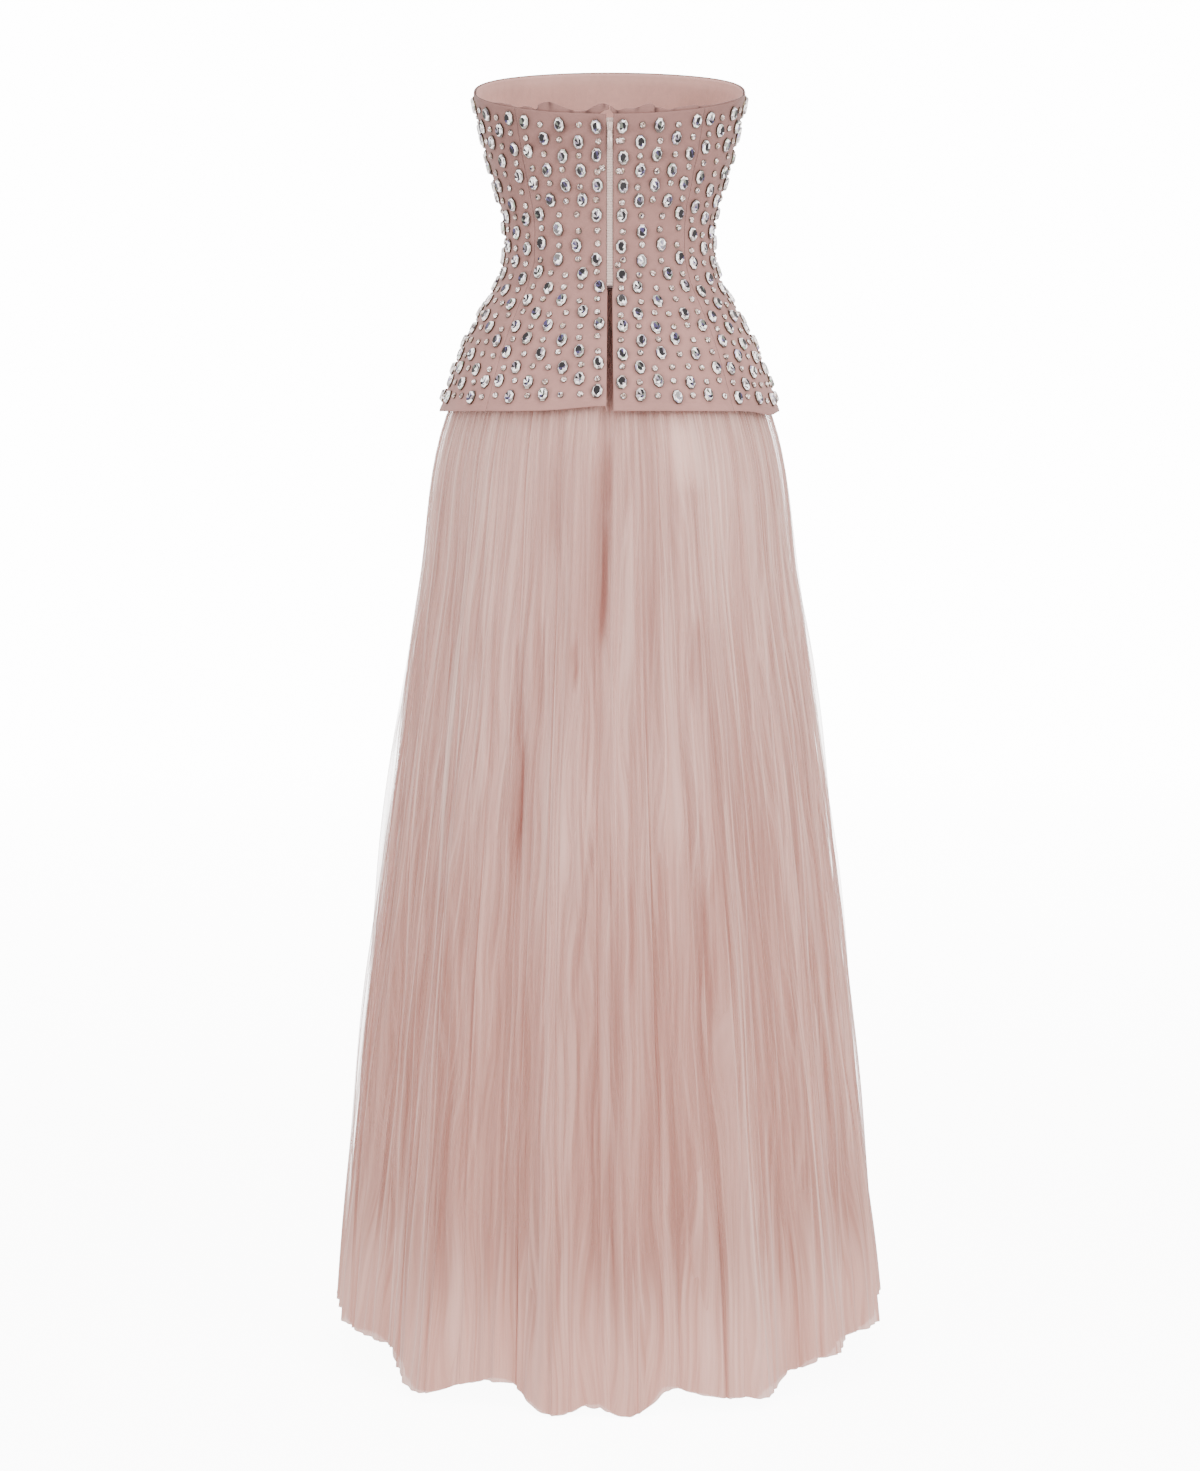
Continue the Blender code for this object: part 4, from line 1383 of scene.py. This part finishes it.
# Painted shade and light on the net. It is darker where gathered closer: partly denser net, partly
# painted shade in its creases. It is paler where it lies open: a painted highlight.
# top_angle, foot_angle, half_width, top, foot, shade
PAINTED_GATHER_SHADES = (
    (0.0, 0.0, 0.0120, -0.020, -0.210, 1.10),
    (0.0, -0.5, 0.0030, -0.190, -0.300, 0.75),
    (-0.5, -3.0, 0.0032, -0.280, -0.430, 0.95),
    (-2.0, -3.5, 0.0100, -0.180, -0.460, 0.40),
    (-6.0, -9.0, 0.0200, -0.180, -0.520, 0.24),
    (-15.0, -17.0, 0.0130, -0.180, -0.340, 0.38),
    (-27.5, -24.5, 0.0022, -0.400, -0.540, 0.70),
    (-23.6, -24.0, 0.0028, -0.500, -0.660, 0.90),
    (-21.0, -19.0, 0.0022, -0.370, -0.500, 0.60),
    (-10.5, -9.0, 0.0024, -0.400, -0.460, 0.70),
    (-42.0, -39.0, 0.0050, -0.280, -0.480, 0.35),
    (-66.0, -64.0, 0.0034, -0.190, -0.320, 0.80),
    (7.0, 5.0, 0.0040, -0.190, -0.300, 0.42),
    (25.0, 22.5, 0.0055, -0.380, -0.480, 0.40),
    (67.0, 66.0, 0.0034, -0.190, -0.300, 0.70),
    (46.0, 47.0, 0.0060, -0.190, -0.260, 0.35),
    (10.0, 10.5, 0.0100, -0.320, -0.560, 0.22),
    (24.5, 25.5, 0.0140, -0.176, -0.260, -0.95),
    (37.0, 34.0, 0.0200, -0.200, -0.420, -0.30),
    (-38.0, -36.0, 0.0160, -0.220, -0.420, -0.25),
    (-10.8, -11.4, 0.0026, -0.620, -0.830, 0.60),
    (22.0, 22.6, 0.0030, -0.640, -0.800, 0.65),
    (-3.6, -9.0, 0.0034, -0.580, -0.790, 0.45),
    (5.0, 4.6, 0.0030, -0.640, -0.770, 0.50),
    (-34.0, -36.0, 0.0040, -0.560, -0.760, 0.45),
    (36.0, 38.0, 0.0036, -0.520, -0.760, 0.45),
    (7.0, 7.4, 0.0034, -0.960, -1.190, 0.60),
    (22.6, 23.4, 0.0030, -0.940, -1.190, 0.65),
    (-24.7, -25.0, 0.0036, -0.880, -1.090, 0.55),
    (-36.0, -37.6, 0.0036, -0.840, -1.140, 0.50),
    (-14.0, -16.6, 0.0040, -0.860, -1.150, 0.50),
    (-8.3, -12.0, 0.0032, -0.900, -1.130, 0.42),
    (0.0, 0.4, 0.0034, -0.860, -1.080, 0.45),
    (13.7, 13.4, 0.0034, -0.940, -1.120, 0.45),
    (39.5, 39.5, 0.0040, -0.880, -1.090, 0.42),
    (29.0, 31.0, 0.0300, -0.900, -1.190, -0.25),
    (-5.0, -6.0, 0.0300, -0.500, -0.800, -0.20),
    (-19.0, -21.0, 0.0300, -0.700, -1.190, 0.20),
    (14.0, 16.0, 0.0280, -0.560, -1.000, 0.18),
)
HIDDEN_GATHER_SHADES = 30
HIDDEN_START = 76.0
HIDDEN_TURN = 208.0


def hidden_gather_shades():
    """Painted gather shades like the tabled ones, uneven, over the sides and the front."""
    rows = []
    for number in range(HIDDEN_GATHER_SHADES):
        along = (number + uneven(number, 5, 0.0, 0.6)) / HIDDEN_GATHER_SHADES
        place = HIDDEN_START + HIDDEN_TURN * along
        foot_place = place + uneven(number, 9, -2.0, 4.0)
        width = 0.0026 + 0.0060 * chance(number, 11) ** 3
        top = uneven(number, 3, -0.185, -0.86)
        foot = top - uneven(number, 7, 0.10, 0.16)
        rows.append((place, foot_place, width, top, foot, uneven(number, 13, 0.40, 0.35)))
    return tuple(rows)


HIDDEN_ROWS = hidden_gather_shades()


def painted_gather_shade_at(angle, height, half_width):
    """How much the painted gather shade darkens the net at a place on the skirt; negative rows paint
    it paler.
    """
    shade = 0.0
    for top_angle, foot_angle, narrow, top, foot, strength in PAINTED_GATHER_SHADES + HIDDEN_ROWS:
        if not foot < height < top:
            continue
        down = (top - height) / (top - foot)
        place = (top_angle + (foot_angle - top_angle) * down) * DEG
        away = half_width * turn(angle - place) / narrow
        if abs(away) < 3.0:
            ends = min(smooth_step(down * 4.0), smooth_step((1.0 - down) * 3.0))
            shade += strength * bell(away, 1.0) * ends
    return shade


def fold_at(angle):
    """How far out the large folds stand at an angle."""
    return sum(fold[2] * hump(nearness(angle, *fold[:2])) for fold in FOLDS)


def hem_drop(angle):
    """How far the hem hangs below its level: a round lobe at each fold, and all the back."""
    drop = BACK_DROP * bell(turn(angle), BACK_DROP_SPREAD)
    for fold in FOLDS:
        away = nearness(angle, *fold[:2])
        if away < 1.0:
            drop += fold[3] * math.cos(0.5 * math.pi * away) ** LOBE_ROUNDING
    return drop


def furrow_at(angle, height, half_width):
    """How deep the narrow furrows are at a place on the net."""
    depth = 0.0
    for place, narrow, deep, top, foot in FURROWS:
        away = half_width * turn(angle - place * DEG) / narrow
        if abs(away) < 3.0:
            ends = smooth_step((height - foot) / FURROW_END)
            ends *= smooth_step((top - height) / FURROW_END)
            depth += deep * bell(away, 1.0) * ends
    return depth


def gore_shape(table, start, end, pleats, per_pleat, outward, phase, pleat_share):
    """The rules for one gore: its points with pleats and folds, and its painted gather shade."""
    read = smooth_curve(table)
    top, foot, hip = table[0][0], table[-1][0], table[2][0]
    longer = INNER_LENGTHENING if table is UNDERSKIRT else 0.0
    count = 2.0 * pleats
    levels = [foot + (top - foot) * row / SKIRT_ROWS for row in range(SKIRT_ROWS + 1)]
    rows = [read(level) for level in levels]

    def place_at(column, row):
        place = 2.0 * column / per_pleat
        edge = min(place, count - place, 1.0)
        drift = PLEAT_DRIFT * math.sin(1.9 * place + 0.7 * start + phase)
        drift += PLEAT_WANDER * math.sin(0.83 * place + 5.5 * levels[row] + phase)
        lap = GORE_LAP / rows[row][2]
        share = (place + drift * edge) / count
        return place, edge, start - lap + (end - start + 2.0 * lap) * share

    def shade(column, row):
        return painted_gather_shade_at(place_at(column, row)[2], levels[row], rows[row][1])

    def shape(column, row):
        place, edge, angle = place_at(column, row)
        level, section = levels[row], rows[row]
        change = edge * math.sin(1.3 * place + 3.1 * level + 2.0 * phase)
        ridge = -math.cos(math.pi * place) * (EVEN_PLEATS + UNEVEN_PLEATS * change)
        soft = sum(size * math.sin(number * angle + start_at + lean * level + phase)
                   for number, size, start_at, lean in SOFT_WAVES)
        placket = PLACKET_DEPTH * bell(section[1] * turn(angle), PLACKET_SPREAD)
        hidden = smooth_step((level - hip) / (top - hip))
        lower = smooth_step((hip - SOFT_START - level) / SOFT_RISE)
        out = outward + ridge * section[4] * pleat_share + section[5] * fold_at(angle)
        out += soft * lower - placket * hidden
        out -= furrow_at(angle, level, section[1]) * pleat_share
        share_down = min(max((level - KNEE) / (foot - KNEE), 0.0), 1.0)
        drop = (hem_drop(angle) + longer) * share_down
        return ring_point(section, angle, level - drop, out)
    return shape, shade


# ------------------------------------------------------------ zip hardware
def tape_shape(side):
    """The rule for one half of the zip's tape."""
    def shape(column, row):
        across = TAPE_START + (TAPE_WIDTH - TAPE_START) * column / TAPE_COLUMNS
        height = ZIP_BOTTOM + (ZIP_TOP - ZIP_BOTTOM) * row / TAPE_ROWS
        angle = angle_along(height, 0.0, side * across)
        return body_point(angle, height, -TAPE_DEPTH)
    return shape


def zip_frame():
    """Place and lean of the slider at the top of the zip."""
    outward = body_normal(0.0, SLIDER_HEIGHT)
    lean = math.atan2(outward.z, outward.y)
    axis = body_surface(0.0, SLIDER_HEIGHT) + outward * PULL_AXIS
    return Matrix.Translation(axis) @ Matrix.Rotation(lean, 4, "X"), Matrix.Translation(axis)


def add_block(bm, size, place, rounding, taper=1.0):
    """Add a block with rounded edges, narrower at its foot where taper is under 1."""
    made = bmesh.ops.create_cube(bm, size=1.0)
    verts = made["verts"]
    bmesh.ops.scale(bm, verts=verts, vec=Vector(size))
    for vert in verts:
        vert.co.x *= taper if vert.co.z < 0 else 1.0
    bmesh.ops.translate(bm, verts=verts, vec=Vector(place))
    edges = list({edge for vert in verts for edge in vert.link_edges})
    bmesh.ops.bevel(bm, geom=edges, offset=rounding, offset_type="OFFSET", segments=2,
                    profile=0.5, affect="EDGES", material=-1)


def closed_loop(bm, points):
    """The edges of a closed loop through some points."""
    verts = [bm.verts.new(point) for point in points]
    return [bm.edges.new(pair) for pair in zip(verts, verts[1:] + verts[:1])]


def add_arch(bm, width, reach, rise, thick, foot):
    """Add an arch that stands on the slider, as a bar swept over half an oval."""
    rings = []
    for step in range(ARCH_STEPS + 1):
        swing = math.pi * step / ARCH_STEPS
        centre = Vector((0.0, foot + rise * math.sin(swing), reach * math.cos(swing)))
        out = Vector((0.0, math.sin(swing) / rise, math.cos(swing) / reach)).normalized()
        ring = []
        for corner in range(ARCH_SIDES):
            turned = FULL_TURN * corner / ARCH_SIDES
            side = Vector((0.5 * width * math.cos(turned), 0.0, 0.0))
            ring.append(centre + side + out * (0.5 * thick * math.sin(turned)))
        rings.append(closed_loop(bm, ring))
    for first, second in zip(rings, rings[1:]):
        bmesh.ops.bridge_loops(bm, edges=first + second)
    bmesh.ops.holes_fill(bm, edges=rings[0] + rings[-1], sides=ARCH_SIDES)


def slider_bmesh():
    """The slider: a front plate, a back plate, the neck between them and the bridge."""
    bm = bmesh.new()
    for *sizes_in_mm, taper in SLIDER_BLOCKS:
        width, depth, height, outward, up, rounding = (MM * size for size in sizes_in_mm)
        add_block(bm, (width, depth, height), (0.0, outward, up), rounding, taper)
    add_arch(bm, *(MM * size for size in SLIDER_BRIDGE))
    bm.transform(zip_frame()[0])
    return bm


def pull_bmesh():
    """The pull tab: a long drop-shaped plate with an eye, hanging from its axis."""
    bm = bmesh.new()
    outline, eye = [], []
    for step in range(PULL_STEPS):
        swing = FULL_TURN * step / PULL_STEPS
        down = 0.5 - 0.5 * math.cos(swing)
        half = 1.5 * MM + 1.0 * MM * smooth_step(down * 1.4)
        side = math.copysign(min(abs(math.sin(swing)) ** 0.35, 1.0), math.sin(swing))
        drop = 0.5 * MM - (PULL_LENGTH - 1.0 * MM) * down
        outline.append((half * side, -PULL_HALF_THICK, drop))
        eye.append((PULL_EYE * math.sin(swing), -PULL_HALF_THICK,
                    PULL_EYE_PLACE + PULL_EYE_LENGTH * math.cos(swing)))
    loops = closed_loop(bm, outline) + closed_loop(bm, eye)
    bmesh.ops.bridge_loops(bm, edges=loops)
    raised = bmesh.ops.extrude_face_region(bm, geom=bm.faces[:], use_keep_orig=True)
    verts = [item for item in raised["geom"] if isinstance(item, bmesh.types.BMVert)]
    bmesh.ops.translate(bm, verts=verts, vec=Vector((0.0, 2.0 * PULL_HALF_THICK, 0.0)))
    bmesh.ops.recalc_face_normals(bm, faces=bm.faces)
    bm.transform(zip_frame()[1])
    return bm


def tooth_mesh():
    """One turn of the zip's coil, as a rounded bar across the middle."""
    bm = bmesh.new()
    add_block(bm, (2.0 * COIL_REACH, COIL_DEPTH, 0.86 * COIL_PITCH), (0.0, 0.0, 0.0),
              COIL_ROUNDING)
    return mesh_of("coil_turn", bm)


# ---------------------------------------------------------------- operators
class GOWN_OT_bodice(bpy.types.Operator):
    """Sew the seven bodice panels and set their stones"""
    bl_idname = "gown.bodice"
    bl_label = "Bodice panels and stones"

    def execute(self, context):
        size = sizes()
        large = cut_stone("large_stone", size.stone_width, size.stone_length,
                          LARGE_STEPS, LARGE_ASIDE)
        small = cut_stone("small_stone", size.small_width, size.small_width,
                          SMALL_STEPS, SMALL_ASIDE)
        for number, (name, node, start, end) in enumerate(PANELS):
            start, end = start * DEG, end * DEG
            columns = int(PANEL_COLUMNS_PER_TURN * (end - start) / FULL_TURN)
            shape = panel_shape(start, end, columns, PANEL_ROWS)
            panel, cut = build_sheet(name, columns, PANEL_ROWS, shape, bodice_cloth(),
                                     "bodice_cloth", node=node)
            give_wall(panel, CLOTH_WALL)
            large_places, small_places = split_places(sewing_places(start, end))
            small_places += self.beside_zip(node, large_places)
            # Stones round which the cloth gets a painted shadow.
            shadow_spots = []
            for kind, shape_mesh, places, rows, seed, reach in (
                    ("large", large, large_places, LARGE_ROWS, 0, 1.0),
                    ("small", small, small_places, SMALL_ROWS, SMALL_SEED,
                     SMALL_STONE_SHADOW_REACH)):
                seed += PANEL_SEED * number
                matrices = self.sew(places, number)
                shadow_spots += [(matrix.translation, reach) for matrix in matrices]
                tile_shapes(kind + "_stones_" + node, shape_mesh, matrices,
                                          stone_shades(shape_mesh, *rows, seed),
                                          stone_material(), "bodice_cloth")
            paint_shadow_round_stones(panel, shadow_spots)
            declare(panel, cut)
        return {"FINISHED"}

    def beside_zip(self, node, large):
        """Extra small stones beside the zip, where they fit between the large ones."""
        extra = []
        for owner, side, height in EXTRA_STONES:
            back = 0.0 if side > 0 else FULL_TURN
            place = (None, angle_along(height, back, side), height)
            if owner == node and fits_between(place, large):
                extra.append(place)
        return extra

    def sew(self, places, number):
        """Matrices of the stones at their places, sunk as far as the cloth creases."""
        matrices = []
        for row, angle, height in places:
            spin = STONE_TURN * math.sin(7.1 * angle * 10.0 + 90.0 * height + 2.0 * number)
            crease = cloth_crease(angle, height)
            matrices.append(place_on_cloth(angle, height, spin, STONE_SUNK + crease))
        return matrices


class GOWN_OT_lining(bpy.types.Operator):
    """Fit the satin lining with its puckered lip"""
    bl_idname = "gown.lining"
    bl_label = "Lining"

    def execute(self, context):
        satin = cloth_material("lining_satin", colours().lining)
        for node, start, end, columns in LININGS:
            shape, shade = lining_shape(start * DEG, end * DEG, columns)
            piece, cut = build_sheet("bodice_" + node, columns, LINING_ROWS, shape,
                                     bodice_cloth(), "lining_cloth", node, shade)
            piece.data.materials.append(satin)
            give_wall(piece, LINING_WALL, lined=True)
            declare(piece, cut)
        return {"FINISHED"}


class GOWN_OT_skirts(bpy.types.Operator):
    """Hang the pleated net layers"""
    bl_idname = "gown.skirts"
    bl_label = "Net skirts"

    def execute(self, context):
        for layer in NET_GORES:
            for side, start, end in GORE_SIDES:
                self.hang(side, start * DEG, end * DEG, *layer)
        return {"FINISHED"}

    def hang(self, side, start, end, layer, solid, slot, table, back_pleats, front_pleats,
             per_pleat, outward, phase, pleat_share):
        """Hang one gore of one layer of net."""
        pleats = front_pleats if side == "front" else back_pleats
        columns = pleats * per_pleat
        shape, shade = gore_shape(table, start, end, pleats, per_pleat, outward, phase,
                                  pleat_share)
        pleats_of = PLEATS_PER_TURN / FULL_TURN
        piece, cut = build_sheet(layer + "_" + side, columns, SKIRT_ROWS, shape,
                                 net_material(layer), slot,
                                 solid and solid + "_" + side, shade,
                                 start * pleats_of, (end - start) * pleats_of / columns)
        declare(piece, cut)


class GOWN_OT_zip(bpy.types.Operator):
    """Sew in the zip with its coil, slider and pull tab"""
    bl_idname = "gown.zip"
    bl_label = "Zip"

    def execute(self, context):
        pale_zip = colours().zip_colour
        tape_cloth = cloth_material("zip_tape_weave", pale_zip)
        pale = hard_material("coil_nylon", pale_zip)
        lacquer = hard_material("lacquered_zip_metal", pale_zip)
        dark = hard_material("dark_zip_stop", STOP_COLOUR_AND_SHADE)
        for side, name in ((1, "right"), (-1, "left")):
            tape, cut = build_sheet("zip_tape_cloth_" + name, TAPE_COLUMNS, TAPE_ROWS,
                                    tape_shape(side), tape_cloth, "zip_tape",
                                    "zip_tape_" + name)
            give_wall(tape, TAPE_WALL * side)
            declare(tape, cut)
        turns = []
        height = ZIP_BOTTOM + COIL_START
        while height < SLIDER_HEIGHT - SLIDER_HALF:
            turns.append(self.on_zip(height, COIL_RISE - TAPE_DEPTH))
            height += COIL_PITCH
        tile_shapes("zip_coil", tooth_mesh(), turns, None, pale, "zip_tape")
        finish_piece("zip_slider_body", slider_bmesh(), lacquer, "zip_slider", "zip_metal")
        finish_piece("zip_pull_tab", pull_bmesh(), lacquer, "zip_pull", "zip_metal",
                     body="pull_tab")
        stop = bmesh.new()
        add_block(stop, STOP_SIZE, (0.0, 0.0, 0.0), STOP_ROUNDING)
        stop.transform(self.on_zip(ZIP_BOTTOM + 0.6 * MM, 1.0 * MM - TAPE_DEPTH))
        finish_piece("zip_bottom_stop", stop, dark, slot="zip_metal")
        return {"FINISHED"}

    def on_zip(self, height, offset):
        """A place on the zip: across, outward and up the centre back."""
        matrix = place_on_cloth(0.0, height, 0.0, -offset)
        return matrix @ Matrix.Rotation(math.pi / 2, 4, "X")


class GOWN_OT_stage(bpy.types.Operator):
    """Set the floor, the soft lights and the camera"""
    bl_idname = "gown.stage"
    bl_label = "Stage"

    def execute(self, context):
        self.lay_floor()
        for name, place, size, energy, colour in LIGHTS:
            lamp = bpy.data.lights.new(name, "AREA")
            lamp.shape = "RECTANGLE"
            lamp.size, lamp.size_y = size
            lamp.energy = energy
            lamp.color = colour
            light = bpy.data.objects.new(name, lamp)
            light.location = place
            aim = Vector(LIGHT_AIM) - Vector(place)
            light.rotation_euler = aim.to_track_quat("-Z", "Y").to_euler()
            context.scene.collection.objects.link(light)
        self.paint_world(context)
        self.set_camera(context)
        return {"FINISHED"}

    def lay_floor(self):
        """A wide pale floor under the hem."""
        bm = bmesh.new()
        bmesh.ops.create_grid(bm, x_segments=24, y_segments=24, size=14.0)
        under = Vector((0.0, 0.0, CAD_BOX[0].z - FLOOR_DROP))
        bmesh.ops.translate(bm, verts=bm.verts, vec=under)
        material, tree, shader = new_material("pale_floor")
        place = object_place(tree)
        pale = colours().floor
        cloudy = mix_colours(tree, noise_over(tree, place, 3.0, 3.0), pale,
                             [FLOOR_CLOUD * value for value in pale])
        away = add_node(tree, "VectorMath", operation="LENGTH")
        fill(away.inputs[0], place)
        glow = spread_values(tree, away.outputs["Value"], *FLOOR_GLOW_SPAN, *FLOOR_GLOW)
        seen = add_node(tree, "LightPath").outputs["Is Camera Ray"]
        set_inputs(shader, Base_Color=cloudy, Roughness=0.9, Specular_IOR_Level=0.1,
                   Emission_Color=(1.0, 1.0, 1.0),
                   Emission_Strength=times(tree, glow, seen))
        mesh = mesh_of("floor", bm)
        mesh.materials.append(material)
        floor = bpy.data.objects.new("floor", mesh)
        bpy.context.scene.collection.objects.link(floor)

    def paint_world(self, context):
        """A bright plain background, and a softer even light from all sides."""
        world = bpy.data.worlds.new("studio")
        world.use_nodes = True
        tree = world.node_tree
        tree.nodes.clear()
        shown = [add_node(tree, "LightPath").outputs["Is Camera Ray"]]
        for colour, strength in (((1.0, 0.96, 0.94), LIT_STRENGTH),
                                 ((1.0, 1.0, 1.0), SEEN_STRENGTH)):
            background = add_node(tree, "Background")
            set_inputs(background, Color=colour, Strength=strength)
            shown.append(background.outputs[0])
        mix = add_node(tree, "MixShader")
        for socket, value in zip(mix.inputs, shown):
            fill(socket, value)
        set_inputs(add_node(tree, "OutputWorld"), Surface=mix.outputs[0])
        context.scene.world = world

    def set_camera(self, context):
        """The camera behind the gown, a little above its middle."""
        lens = bpy.data.cameras.new("camera")
        lens.sensor_width = 36.0
        lens.lens = 36.0 * CAMERA_FOCAL / IMAGE_HEIGHT
        lens.clip_start, lens.clip_end = 0.05, 100.0
        camera = bpy.data.objects.new("camera", lens)
        camera.location = CAMERA_PLACE
        camera.rotation_euler = (math.pi / 2 - CAMERA_PITCH, 0.0, math.pi)
        context.scene.collection.objects.link(camera)
        context.scene.camera = camera


class GOWN_PT_panel(bpy.types.Panel):
    """Sizes, colours and steps of the gown"""
    bl_idname = "GOWN_PT_panel"
    bl_label = "Strapless gown"
    bl_space_type = "VIEW_3D"
    bl_region_type = "UI"
    bl_category = "Gown"

    def draw(self, context):
        layout = self.layout
        for group, kind in ((sizes(), GownSizes), (colours(), GownColours)):
            box = layout.box()
            for name in kind.__annotations__:
                box.prop(group, name)
        for operator in OPERATORS:
            layout.operator(operator.bl_idname)


OPERATORS = (
    GOWN_OT_stage,
    GOWN_OT_bodice,
    GOWN_OT_lining,
    GOWN_OT_skirts,
    GOWN_OT_zip,
)
CLASSES = (GownSizes, GownColours) + OPERATORS + (GOWN_PT_panel,)


def register():
    """Register the classes and hang their settings on the scene."""
    for kind in CLASSES:
        bpy.utils.register_class(kind)
    bpy.types.Scene.gown_sizes = bpy.props.PointerProperty(type=GownSizes)
    bpy.types.Scene.gown_colours = bpy.props.PointerProperty(type=GownColours)


def unregister():
    """Take the settings off the scene and unregister the classes."""
    del bpy.types.Scene.gown_colours
    del bpy.types.Scene.gown_sizes
    for kind in reversed(CLASSES):
        bpy.utils.unregister_class(kind)


def main():
    """Register the classes and build every piece in order."""
    register()
    for operator in OPERATORS:
        group, name = operator.bl_idname.split(".")
        getattr(getattr(bpy.ops, group), name)()


if __name__ == "__main__":
    main()
